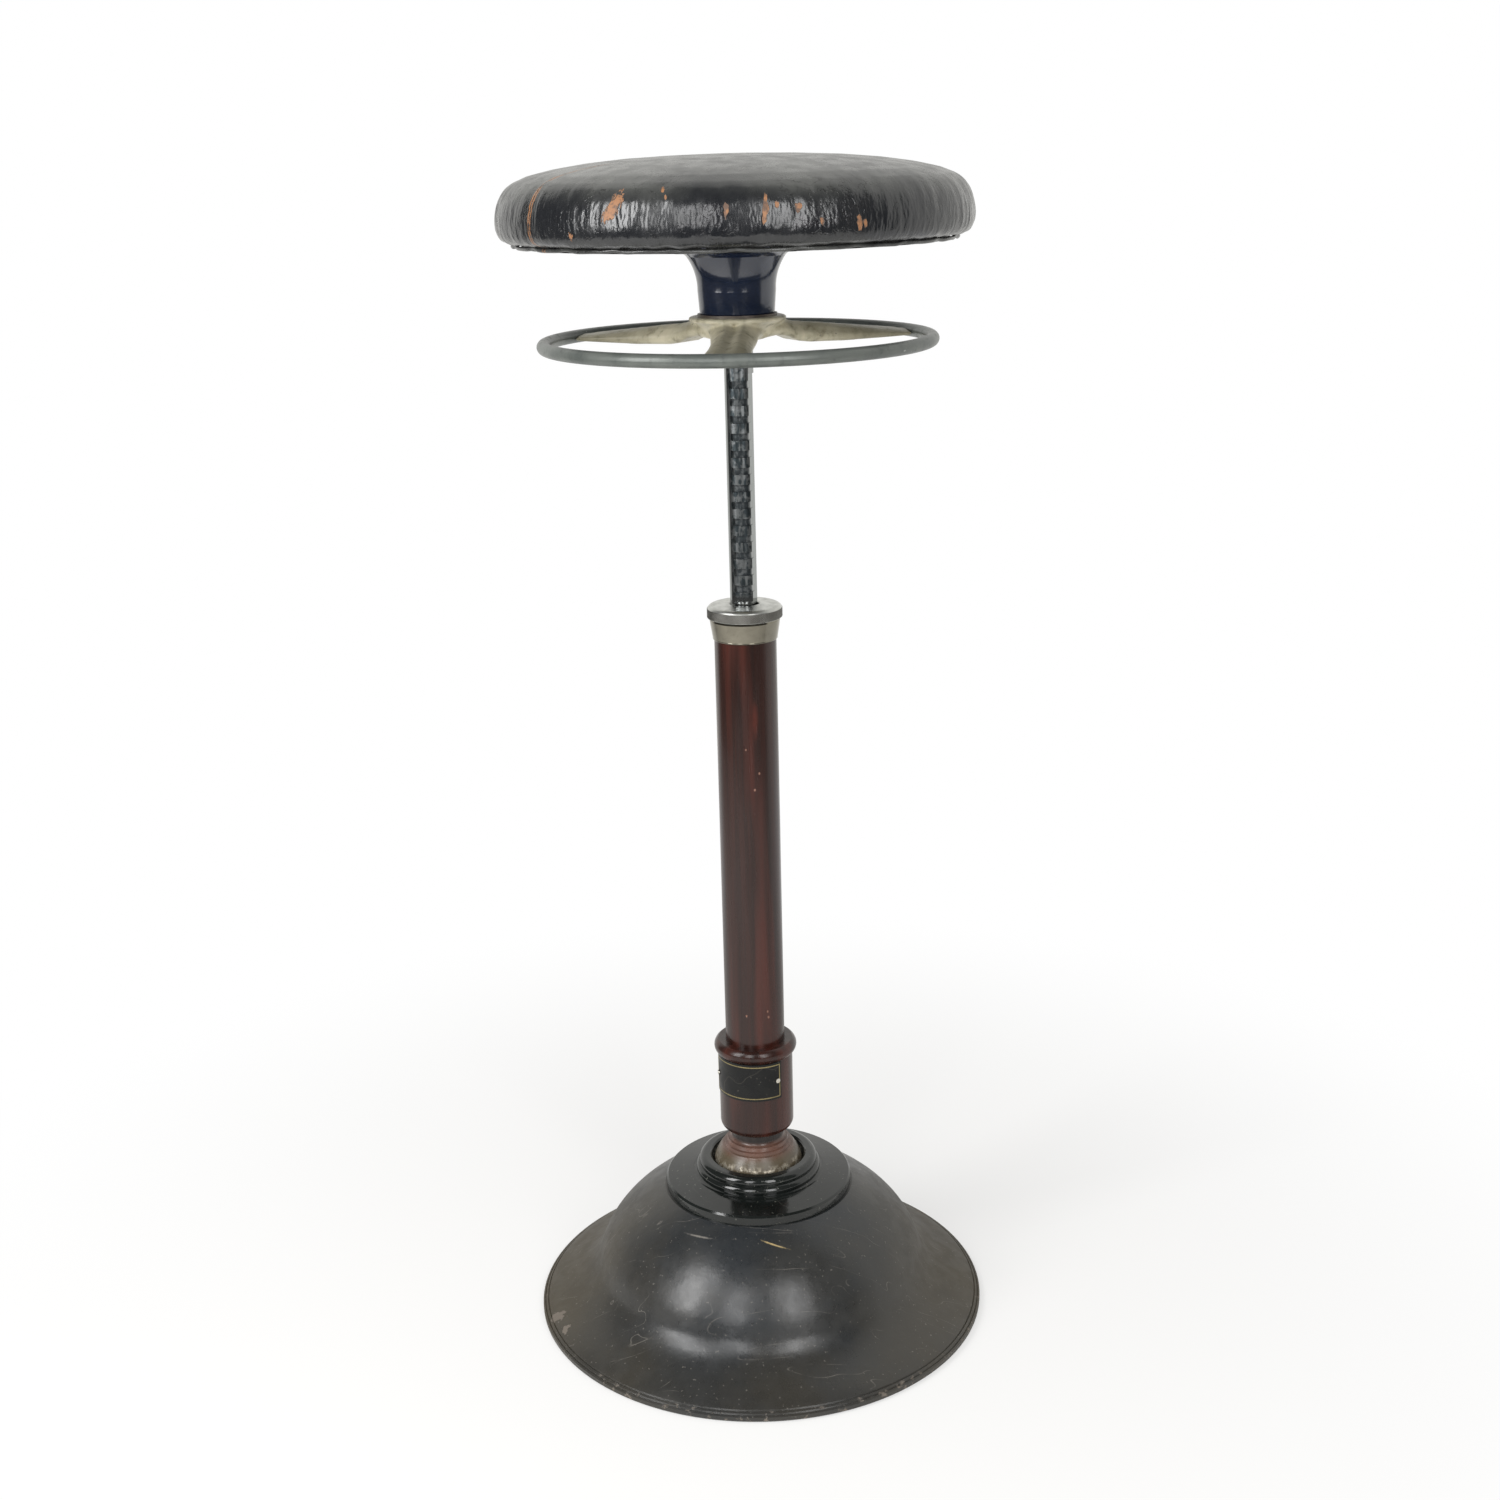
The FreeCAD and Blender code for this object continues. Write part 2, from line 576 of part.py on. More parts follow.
# Handwheel: a dished hub with three ridged arms cast round a plain ring
ring_z = hub_z - WHEEL_DROP
hub_outline = [
    (ROD_RADIUS + SLIP, hub_z),
    (HUB_FOOT_RADIUS - 2.0, hub_z),
    (HUB_FOOT_RADIUS - 0.6, hub_z + 0.6, HUB_FOOT_RADIUS, hub_z + 2.0),
    (HUB_FOOT_RADIUS + 4.5, hub_z + 0.42 * HUB_HEIGHT, HUB_RADIUS, hub_top - 3.0),
    (HUB_RADIUS - 0.6, hub_top - 0.9, HUB_RADIUS - 2.5, hub_top),
    (ROD_RADIUS + SLIP, hub_top),
]
spider = turned(hub_outline)
# radius, half width, top and bottom of the arm, measured from the middle of the ring
arm_stations = (
    (ROD_RADIUS + 3.0, ARM_HALF_WIDTH + 3.0, HUB_HEIGHT, WHEEL_DROP + 1.0),
    (HUB_FOOT_RADIUS + 5.0, ARM_HALF_WIDTH + 1.0, HUB_HEIGHT - 1.0, WHEEL_DROP + 2.6),
    (HUB_RADIUS - 1.0, ARM_HALF_WIDTH, HUB_HEIGHT - 2.6, WHEEL_DROP + 0.8),
    (HUB_RADIUS + 8.0, ARM_HALF_WIDTH - 1.0, HUB_HEIGHT - 4.6, WHEEL_DROP - 3.2),
    (HUB_RADIUS + 18.0, ARM_HALF_WIDTH - 1.8, HUB_HEIGHT - 5.8, WHEEL_DROP - 4.6),
    (0.47 * WHEEL_RADIUS, ARM_HALF_WIDTH - 2.2, 0.6 * HUB_HEIGHT, WHEEL_DROP - 5.0),
    (0.58 * WHEEL_RADIUS, ARM_HALF_WIDTH - 2.0, 0.48 * HUB_HEIGHT, WHEEL_DROP - 5.4),
    (0.8 * WHEEL_RADIUS, ARM_HALF_WIDTH - 0.5, 0.27 * HUB_HEIGHT, WHEEL_DROP - 5.0),
    (WHEEL_RADIUS - 2 * WHEEL_TUBE, ARM_HALF_WIDTH + 2.0, 0.5 * WHEEL_TUBE, -0.6 * WHEEL_TUBE),
    (WHEEL_RADIUS - 1.0, ARM_HALF_WIDTH + 5.0, 0.36 * WHEEL_TUBE, -0.5 * WHEEL_TUBE),
)
arm_sections = []
for radius, half, top, bottom in arm_stations:
    depth = top - bottom
    edge = 0.22 * depth
    crease = min(ARM_CREASE, 0.2 * depth)
    points = [
        V(radius, edge - half, ring_z + bottom),
        V(radius, half - edge, ring_z + bottom),
        V(radius, half, ring_z + bottom + edge),
        V(radius, half, ring_z + top - 2.5 * edge),
        V(radius, 0.74 * half, ring_z + top - edge),
        V(radius, 0.36 * half, ring_z + top),
        V(radius, 0, ring_z + top - crease),
        V(radius, -0.36 * half, ring_z + top),
        V(radius, -0.74 * half, ring_z + top - edge),
        V(radius, -half, ring_z + top - 2.5 * edge),
        V(radius, -half, ring_z + bottom + edge),
    ]
    points.append(points[0])
    arm_sections.append(Part.makePolygon(points))
arm = Part.makeLoft(arm_sections, True, True)
for number in range(WHEEL_ARMS):
    copy = arm.copy()
    copy.rotate(V(0, 0, 0), V(0, 0, 1), WHEEL_AZIMUTH + 360.0 / WHEEL_ARMS * number)
    spider = spider.fuse(copy)
spider = spider.cut(rod_at(ROD_RADIUS + SLIP, hub_z - HUB_HEIGHT, hub_top + HUB_HEIGHT))
top_trim = ring(WHEEL_RADIUS, ROD_RADIUS, hub_top, hub_top + HUB_HEIGHT)
spider = spider.cut(top_trim)
wheel_ring = Part.makeTorus(WHEEL_RADIUS, WHEEL_TUBE, V(0, 0, ring_z))
spider = spider.cut(Part.makeTorus(WHEEL_RADIUS, WHEEL_TUBE + SLIP, V(0, 0, ring_z)))
set_bore = radial(2.6, set_angle, set_z, ROD_RADIUS - 1, HUB_RADIUS + 20)
spider = spider.cut(set_bore)
set_screw = radial(2.5, set_angle, set_z, ROD_RADIUS - 1.8, HUB_FOOT_RADIUS + 2.0)
keep("wheel_spider", spider.removeSplitter())
keep("wheel_ring", wheel_ring)
keep("wheel_set_screw", set_screw)

# Swivel: a washer on the hub, a bush in the seat's neck, a washer and screw on the spindle
keep("thrust_washer", ring(THRUST_WASHER_RADIUS, JOURNAL_RADIUS + SLIP, hub_top, neck_z))
bush_end = neck_z + NECK_BUSH_LENGTH
keep("neck_bush", ring(NECK_BUSH_RADIUS, JOURNAL_RADIUS + SLIP, neck_z, bush_end))
spindle_seat = spindle_top + SPINDLE_WASHER
keep("spindle_washer", ring(NECK_BUSH_RADIUS + 2.0, screw_hole + SLIP, spindle_top, spindle_seat))
spindle_screw = rod_at(screw_hole, spindle_top - 18, spindle_seat)
spindle_screw = spindle_screw.fuse(hexagon(7.5, spindle_seat, spindle_seat + SPINDLE_HEAD))
keep("spindle_screw", spindle_screw.removeSplitter())

# Neck of the seat: a flared casting with a wide flange under the board
flange_z = board_z - NECK_FLANGE_THICKNESS
neck_well = NECK_BUSH_RADIUS + 6.0
neck_outline = [
    (NECK_BUSH_RADIUS + SLIP, neck_z),
    (NECK_FOOT_RADIUS - 0.8, neck_z),
    (NECK_FOOT_RADIUS, neck_z + 0.8),
    (NECK_FOOT_RADIUS + 1.2, neck_z + 0.33 * NECK_HEIGHT),
    (NECK_FOOT_RADIUS + 3.4, neck_z + 0.61 * NECK_HEIGHT,
     NECK_FOOT_RADIUS + 9.0, neck_z + 0.82 * NECK_HEIGHT),
    (NECK_FOOT_RADIUS + 15.5, neck_z + 0.9 * NECK_HEIGHT, NECK_FLANGE_RADIUS - 10.0, flange_z),
    (NECK_FLANGE_RADIUS - 1.0, flange_z),
    (NECK_FLANGE_RADIUS, flange_z + 1.0),
    (NECK_FLANGE_RADIUS, board_z),
    (neck_well, board_z),
    (neck_well, bush_end),
    (NECK_BUSH_RADIUS + SLIP, bush_end),
]
neck = turned(neck_outline)
neck_screws = []
board_hide = HIDE_THICKNESS + SLIP
board = rod_at(board_radius, board_z, board_z + BOARD_THICKNESS)
screw_reach = 0.8 * BOARD_THICKNESS
screw_circle = NECK_FLANGE_RADIUS - NECK_SCREW_INSET
for number in range(NECK_SCREWS):
    place = at(screw_circle, 45 + 360.0 / NECK_SCREWS * number, flange_z)
    shank = Part.makeCylinder(NECK_SCREW_RADIUS, NECK_FLANGE_THICKNESS + screw_reach, place)
    head_foot = V(place.x, place.y, flange_z - NECK_SCREW_HEAD)
    head = Part.makeCylinder(1.9 * NECK_SCREW_RADIUS, NECK_SCREW_HEAD, head_foot)
    neck_screws.append(shank.fuse(head).removeSplitter())
    hole = Part.makeCylinder(NECK_SCREW_RADIUS + HOLE_GAP, NECK_FLANGE_THICKNESS + 2, place + V(0, 0, -1))
    neck = neck.cut(hole)
    pilot = Part.makeCylinder(NECK_SCREW_RADIUS + SLIP, NECK_FLANGE_THICKNESS + screw_reach + SLIP, place)
    board = board.cut(pilot)
keep("seat_neck", neck)
keep("neck_screws", together(neck_screws))

# Leather cover: a shell that bulges over the board and is tacked to its edge
hide_z = board_z + HIDE_LIFT
inner_edge = board_radius + SLIP
skirt_edge = board_radius + board_hide
bulge_z = board_z + BULGE_LIFT
seat_top = board_z + SEAT_HEIGHT
shoulder_z = board_z + SHOULDER_LIFT
rounding = SEAT_RADIUS - SHOULDER_INSET
board_top = board_z + BOARD_THICKNESS
inner_bulge = SEAT_RADIUS - HIDE_THICKNESS
inner_rounding = rounding - HIDE_THICKNESS
inner_top = seat_top - HIDE_THICKNESS
inner_shoulder = shoulder_z - HIDE_THICKNESS
roll_low = hide_z + COVER_ROLL_HEIGHT
roll_radius = SEAT_RADIUS - COVER_ROLL_INSET
crease = skirt_edge + 5.0
cover_outline = [
    (inner_edge, hide_z),
    (skirt_edge, hide_z),
    (skirt_edge, hide_z + SKIRT_SHOW),
    (crease, hide_z + 0.4),
    (crease + 4.6, hide_z + 0.4, roll_radius, roll_low),
    (SEAT_RADIUS, bulge_z),
    (SEAT_RADIUS - 2.0, 0.5 * (bulge_z + shoulder_z), rounding, shoulder_z),
    crown_mid(rounding, shoulder_z, seat_top) + (0, seat_top),
    (0, inner_top),
    crown_mid(inner_rounding, inner_shoulder, inner_top) + (inner_rounding, inner_shoulder),
    (inner_bulge - 2.0, 0.5 * (bulge_z + shoulder_z) - HIDE_THICKNESS, inner_bulge, bulge_z),
    (roll_radius - HIDE_THICKNESS, roll_low + 1.0),
    (crease + 0.6, hide_z + 0.6 + HIDE_THICKNESS),
    (skirt_edge, hide_z + SKIRT_SHOW + HIDE_THICKNESS),
    (inner_edge, hide_z + SKIRT_SHOW + HIDE_THICKNESS),
]
cover = turned(cover_outline)
pad_gap = 2 * SLIP
pad_top = inner_top - pad_gap
padding_outline = [
    (0, board_top),
    (inner_edge + pad_gap, board_top),
    (inner_edge + pad_gap, hide_z + SKIRT_SHOW + HIDE_THICKNESS + pad_gap),
    (skirt_edge, hide_z + SKIRT_SHOW + HIDE_THICKNESS + pad_gap),
    (crease + 0.6, hide_z + 0.6 + HIDE_THICKNESS + pad_gap),
    (roll_radius - HIDE_THICKNESS - pad_gap, roll_low + 1.0 + pad_gap),
    (inner_bulge - pad_gap, bulge_z),
    (inner_bulge - 2.0 - pad_gap, 0.5 * (bulge_z + shoulder_z) - HIDE_THICKNESS - pad_gap,
     inner_rounding - pad_gap, inner_shoulder - pad_gap),
    crown_mid(inner_rounding - pad_gap, inner_shoulder - pad_gap, pad_top) + (0, pad_top),
]
padding = turned(padding_outline)
tacks = []
tack_z = hide_z + TACK_RADIUS
for number in range(TACK_COUNT):
    angle = 360.0 / TACK_COUNT * (number + 0.5)
    shank = radial(TACK_SHANK, angle, tack_z, board_radius - TACK_BITE, skirt_edge)
    head = radial(TACK_RADIUS, angle, tack_z, skirt_edge, skirt_edge + TACK_HEAD)
    tacks.append(shank.fuse(head).removeSplitter())
    hole = radial(TACK_SHANK + SLIP, angle, tack_z, board_radius - TACK_BITE - SLIP, skirt_edge + SLIP)
    board = board.cut(hole)
    cover = cover.cut(hole)
keep("seat_board", board)
keep("seat_cover", cover)
keep("seat_padding", padding)
keep("cover_tacks", together(tacks))
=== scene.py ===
"""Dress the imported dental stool: old hide, worn enamel, nickel plate and cream paint."""

import logging
import math
from dataclasses import dataclass, field
from enum import Enum
from typing import Optional, Sequence, Union

import bpy
import numpy as np
from mathutils import Matrix, Vector
from mathutils import noise as ripple


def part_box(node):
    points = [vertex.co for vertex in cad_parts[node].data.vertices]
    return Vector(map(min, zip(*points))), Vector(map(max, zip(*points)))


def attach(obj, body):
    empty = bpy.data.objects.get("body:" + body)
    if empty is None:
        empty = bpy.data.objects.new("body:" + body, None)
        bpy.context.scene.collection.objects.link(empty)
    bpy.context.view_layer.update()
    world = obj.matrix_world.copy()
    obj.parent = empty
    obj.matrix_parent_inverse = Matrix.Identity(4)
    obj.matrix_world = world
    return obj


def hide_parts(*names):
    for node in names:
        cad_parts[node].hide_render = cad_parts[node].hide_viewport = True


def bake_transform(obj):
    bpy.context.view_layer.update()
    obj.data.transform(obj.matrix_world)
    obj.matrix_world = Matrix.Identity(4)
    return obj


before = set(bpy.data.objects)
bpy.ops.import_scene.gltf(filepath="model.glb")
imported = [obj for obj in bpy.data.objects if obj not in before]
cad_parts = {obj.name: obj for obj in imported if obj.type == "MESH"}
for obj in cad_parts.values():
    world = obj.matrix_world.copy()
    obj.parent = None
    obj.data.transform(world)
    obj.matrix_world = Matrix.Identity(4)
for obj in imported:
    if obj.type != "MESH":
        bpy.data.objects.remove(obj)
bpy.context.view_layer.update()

LOG = logging.getLogger("stool")

Colour = tuple[float, float, float, float]
Socket = bpy.types.NodeSocket
Mask = Union[Socket, float]
Triple = tuple[float, float, float]

MM = 0.001
# Angle between two faces, in degrees, past which the edge between them stays sharp.
SHARP = 40.0
# A Map Range takes its value at 0, where its step starts and ends at 1 and 2, and the results at 3 and 4.
SMOOTH = {"interpolation_type": "SMOOTHSTEP"}


class Body(Enum):
    """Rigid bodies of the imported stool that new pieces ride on."""

    BASE = "base"
    PIN = "pin"
    COLUMN = "column"
    ROD = "rod"
    SEAT = "seat"


def linear(code: str) -> Colour:
    """Turn an sRGB hex colour into linear light.

    Args:
        code: six hex digits, such as "4a2a24".

    Returns:
        Red, green, blue and alpha as linear values.
    """
    shares = [int(code[at:at + 2], 16) / 255.0 for at in (0, 2, 4)]
    bent = [s / 12.92 if s <= 0.04045 else ((s + 0.055) / 1.055) ** 2.4 for s in shares]
    return (bent[0], bent[1], bent[2], 1.0)


def per_mm(size: float) -> float:
    """Scale of a pattern in Object coordinates whose features measure size millimetres."""
    return 1.0 / (size * MM)


def add(tree: bpy.types.NodeTree, kind: str, links: Optional[dict] = None, out: Union[int, str] = 0,
        **settings) -> Optional[Socket]:
    """Add one node to a tree, with its settings and what its sockets take.

    Args:
        tree: node tree to add to.
        kind: Blender's name for the node, without its first word.
        links: socket name or number to a constant, or to the output that feeds it.
        out: which output is wanted.
        settings: properties of the node itself.

    Returns:
        That output of the new node, or None for a node without outputs.
    """
    made = tree.nodes.new("ShaderNode" + kind)
    for key, value in settings.items():
        setattr(made, key, value)
    for key, value in (links or {}).items():
        if isinstance(value, Socket):
            tree.links.new(value, made.inputs[key])
        else:
            made.inputs[key].default_value = value
    return made.outputs[out] if len(made.outputs) else None


class Coat:
    """Nodes of one material while a finish builds it up in layers."""

    def __init__(self, name: str) -> None:
        """Start an empty material with a principled shader.

        Args:
            name: what the material is called.
        """
        self.material = bpy.data.materials.new(name)
        self.material.use_nodes = True
        self.tree = self.material.node_tree
        self.tree.nodes.clear()
        self.shader = add(self.tree, "BsdfPrincipled").node
        add(self.tree, "OutputMaterial", {"Surface": self.shader.outputs[0]})
        self.place = add(self.tree, "TexCoord", out="Object")
        self.x, self.y, self.z = add(self.tree, "SeparateXYZ", {0: self.place}).node.outputs

    def put(self, socket: str, value: Union[Socket, float, Colour]) -> None:
        """Feed one socket of the shader.

        Args:
            socket: name of the socket.
            value: an output, or a constant for the whole surface.
        """
        if isinstance(value, Socket):
            self.tree.links.new(value, self.shader.inputs[socket])
        else:
            self.shader.inputs[socket].default_value = value

    def radius(self) -> Socket:
        """Distance from the upright axis of the stool, in metres."""
        flat = add(self.tree, "CombineXYZ", {0: self.x, 1: self.y})
        return add(self.tree, "VectorMath", {0: flat}, "Value", operation="LENGTH")

    def mottle(self, size: float, low: float, high: float, detail: float = 4.0,
               stretch: Triple = (1.0, 1.0, 1.0), place: Optional[Socket] = None) -> Socket:
        """Cloudy mask from noise.

        Args:
            size: size of the clouds in millimetres.
            low: noise value that gives 0.
            high: noise value that gives 1.
            detail: octaves of noise.
            stretch: share of the scale along x, y and z.
            place: coordinates, if not the object's own.

        Returns:
            The mask, 0 to 1.
        """
        mapped = add(self.tree, "Mapping", {"Vector": place or self.place, "Scale": stretch})
        cloud = add(self.tree, "TexNoise", {"Vector": mapped, "Scale": per_mm(size), "Detail": detail,
                                            "Roughness": 0.6})
        return add(self.tree, "MapRange", {0: cloud, 1: low, 2: high}, **SMOOTH)

    def hairlines(self, size: float, width: float, stretch: Triple = (1.0, 1.0, 1.0)) -> Socket:
        """Thin wandering lines, such as scratches, where noise passes its middle.

        Args:
            size: spacing of the lines in millimetres.
            width: share of the noise's range that a line takes.
            stretch: share of the scale along x, y and z.

        Returns:
            The mask, 1 on a line.
        """
        aside = (0.3, 0.3, 0.3)  # Another part of the noise than the clouds take.
        mapped = add(self.tree, "Mapping", {"Vector": self.place, "Scale": stretch, "Location": aside})
        cloud = add(self.tree, "TexNoise", {"Vector": mapped, "Scale": per_mm(size), "Detail": 2.0})
        off = add(self.tree, "Math", {0: cloud, 1: 0.5}, operation="SUBTRACT")
        gap = add(self.tree, "Math", {0: off}, operation="ABSOLUTE")
        return add(self.tree, "MapRange", {0: gap, 1: width, 2: 0.0}, **SMOOTH)

    def patch(self, centre: Triple, size: Triple, turn: Triple = (0.0, 0.0, 0.0), ragged: float = 0.5,
              soft: float = 0.15, grain: float = 2.2) -> Socket:
        """One mark at a place, with a ragged edge.

        Args:
            centre: place in millimetres.
            size: half sizes along its own axes in millimetres.
            turn: turn about x, y and z in degrees.
            ragged: how far noise moves the edge.
            soft: width of the edge as a share of the size.
            grain: size of the noise in millimetres.

        Returns:
            The mask, 1 on the mark.
        """
        links = {"Vector": self.place, "Location": Vector(centre) * MM, "Scale": Vector(size) * MM,
                 "Rotation": [math.radians(angle) for angle in turn]}
        inside = add(self.tree, "Mapping", links, vector_type="TEXTURE")
        away = add(self.tree, "VectorMath", {0: inside}, "Value", operation="LENGTH")
        upright = add(self.tree, "Mapping", {"Vector": self.place, "Scale": (1.0, 1.0, 0.45)})
        edge = add(self.tree, "TexNoise", {"Vector": upright, "Scale": per_mm(grain), "Detail": 4.0})
        moved = add(self.tree, "Math", {0: edge, 1: ragged, 2: away}, operation="MULTIPLY_ADD")
        brink = 1.0 + ragged / 2
        return add(self.tree, "MapRange", {0: moved, 1: brink, 2: brink - soft}, **SMOOTH)

    def many(self, masks: Sequence[Mask], how: str) -> Mask:
        """Fold several masks into one.

        Args:
            masks: masks or plain shares.
            how: MULTIPLY where all must hold, MAXIMUM where one is enough, ADD for their sum.

        Returns:
            The folded mask.
        """
        whole = masks[0]
        for one in masks[1:]:
            whole = add(self.tree, "Math", {0: whole, 1: one}, operation=how)
        return whole

    def layers(self, base: str, *coats: tuple[Mask, str]) -> None:
        """Lay colours over each other and give the result to the shader.

        Args:
            base: lowest colour, as sRGB hex.
            coats: mask and colour of each layer above it.
        """
        colour: Union[Socket, Colour] = linear(base)
        for mask, over in coats:
            colour = add(self.tree, "Mix", {0: mask, 6: colour, 7: linear(over)}, 2, data_type="RGBA")
        self.put("Base Color", colour)

    def relief(self, *heights: tuple[Socket, float]) -> None:
        """Bump the surface by masks.

        Args:
            heights: mask, and the real height of its full step in millimetres.
        """
        bent: Optional[Socket] = None
        for mask, depth in heights:
            links = {"Height": mask, "Distance": abs(depth) * MM, "Strength": 1.0}
            if bent is not None:
                links["Normal"] = bent
            bent = add(self.tree, "Bump", links, invert=depth < 0)
        self.put("Normal", bent)


@dataclass(frozen=True)
class Finish:
    """A surface finish that becomes one material.

    Args:
        name: what the material is called in Blender.
        slot: slot of the record that it stands for; not used.
    """

    name: str
    slot: str

    def make(self) -> bpy.types.Material:
        """Build the material the first time, and find it again later.

        Returns:
            The material.
        """
        found = bpy.data.materials.get(self.name)
        if found is None:
            coat = Coat(self.name)
            self.dress(coat)
            found = coat.material
        return found

    def dress(self, coat: Coat) -> None:
        """Lay the finish on; each kind has its own way."""
        raise NotImplementedError


@dataclass(frozen=True)
class GlossEnamel(Finish):
    """Stove enamel on a casting: deep gloss, with specks, hair scratches and rubbed patches."""

    base: str
    tint: str
    worn: str
    rough: float
    cloud: float
    specks: float
    scratches: float
    shine: float = 0.5

    def dress(self, coat: Coat) -> None:
        """Lay on the gloss, then specks and scratches that go through it.

        Args:
            coat: nodes of the material.
        """
        dots = coat.many([coat.mottle(size=3.0, low=0.70, high=0.745, detail=1.0), self.specks], "MULTIPLY")
        lines = coat.many([coat.hairlines(size=55.0, width=0.0035), self.scratches], "MULTIPLY")
        rubbed = coat.many([dots, lines], "MAXIMUM")
        clouds = coat.mottle(self.cloud, low=0.38, high=0.66)
        coat.layers(self.base, (clouds, self.tint), (rubbed, self.worn))
        breath = coat.mottle(size=18.0, low=0.3, high=0.7)
        smear = add(coat.tree, "MapRange", {0: breath, 3: self.rough, 4: self.rough * 1.7}, **SMOOTH)
        coat.put("Roughness", coat.many([smear, coat.many([rubbed, 0.35], "MULTIPLY")], "ADD"))
        coat.put("IOR", 1.52)
        coat.put("Specular IOR Level", self.shine)
        coat.relief((coat.mottle(size=6.0, low=0.2, high=0.8, detail=2.0), 0.03), (rubbed, -0.06))


@dataclass(frozen=True)
class DomeEnamel(Finish):
    """Black stove enamel on the iron base, rubbed grey and brown, chipped along the rim, with a painted warm
    sheen on its sides.
    """

    base: str = "24272a"
    brown: str = "413a2c"
    worn: str = "86817a"
    iron: str = "6a6259"
    gilt: str = "a8946a"
    rim: float = 0.1835
    rim_width: float = 0.004
    flakes: tuple[Triple, ...] = ((-168.0, -74.0, 14.0), (-173.0, -52.0, 12.0), (60.0, 176.0, 9.0),
                                  (150.0, 108.0, 10.0), (-40.0, 182.0, 9.0))
    flake: Triple = (6.5, 7.5, 6.0)

    def dress(self, coat: Coat) -> None:
        """Brown the black towards the brim and the sides, on the sides partly as a painted warm sheen,
        scratch it, and chip it to the iron.

        Args:
            coat: nodes of the material.
        """
        out = coat.radius()
        brim = add(coat.tree, "MapRange", {0: out, 1: 0.125, 2: 0.178}, **SMOOTH)
        # Brown on the left and right sides, fading towards the front: partly dust, partly a painted sheen
        # where the sides are seen at a grazing angle.
        aside = add(coat.tree, "Math", {0: coat.x}, operation="ABSOLUTE")
        across = add(coat.tree, "MapRange", {0: aside, 1: 0.05, 2: 0.15}, **SMOOTH)
        behind = add(coat.tree, "MapRange", {0: coat.y, 1: -0.115, 2: -0.015, 3: 0.25, 4: 1.0}, **SMOOTH)
        flank_dust_and_sheen = coat.many([across, behind], "MULTIPLY")
        clouds = coat.mottle(size=85.0, low=0.36, high=0.64)
        shares = [coat.many([clouds, 0.2], "MULTIPLY"), coat.many([brim, 0.2], "MULTIPLY"),
                  coat.many([flank_dust_and_sheen, 0.6], "MULTIPLY")]
        dots = coat.many([coat.mottle(size=2.4, low=0.705, high=0.76, detail=1.0), 0.35], "MULTIPLY")
        lines = coat.many([coat.hairlines(size=26.0, width=0.004, stretch=(0.15, 1.0, 0.6)),
                           coat.mottle(size=30.0, low=0.46, high=0.64), 0.45], "MULTIPLY")
        arc = coat.patch((-50.0, -79.0, 100.0), (17.0, 9.0, 0.7), (0.0, -3.0, -32.0), ragged=0.8, soft=0.8)
        rubbed = coat.many([dots, lines, coat.many([arc, 0.7], "MULTIPLY")], "MAXIMUM")
        flakes = coat.many([coat.patch(spot, self.flake, ragged=2.4, grain=6.0) for spot in self.flakes],
                           "MAXIMUM")
        lip = add(coat.tree, "MapRange", {0: out, 1: self.rim, 2: self.rim + self.rim_width}, **SMOOTH)
        worn_rim = coat.many([coat.mottle(size=7.0, low=0.58, high=0.68), lip], "MULTIPLY")
        chips = coat.many([flakes, worn_rim], "MAXIMUM")
        scrape = coat.patch((11.0, -93.0, 99.5), (15.0, 9.0, 0.6), (0.0, 14.0, 0.0), ragged=0.8, soft=0.8)
        coat.layers(self.base, (coat.many(shares, "ADD"), self.brown), (rubbed, self.worn),
                    (scrape, self.gilt), (chips, self.iron))
        smear = add(coat.tree, "MapRange", {0: coat.mottle(size=14.0, low=0.3, high=0.7), 3: 0.26, 4: 0.34},
                    **SMOOTH)
        dusty = [coat.many([chips, 0.3], "MULTIPLY"), coat.many([flank_dust_and_sheen, 0.25], "MULTIPLY")]
        coat.put("Roughness", coat.many([smear, *dusty], "ADD"))
        coat.put("IOR", 1.52)
        coat.relief((coat.mottle(size=4.0, low=0.2, high=0.8, detail=1.0), 0.03), (chips, -0.25))


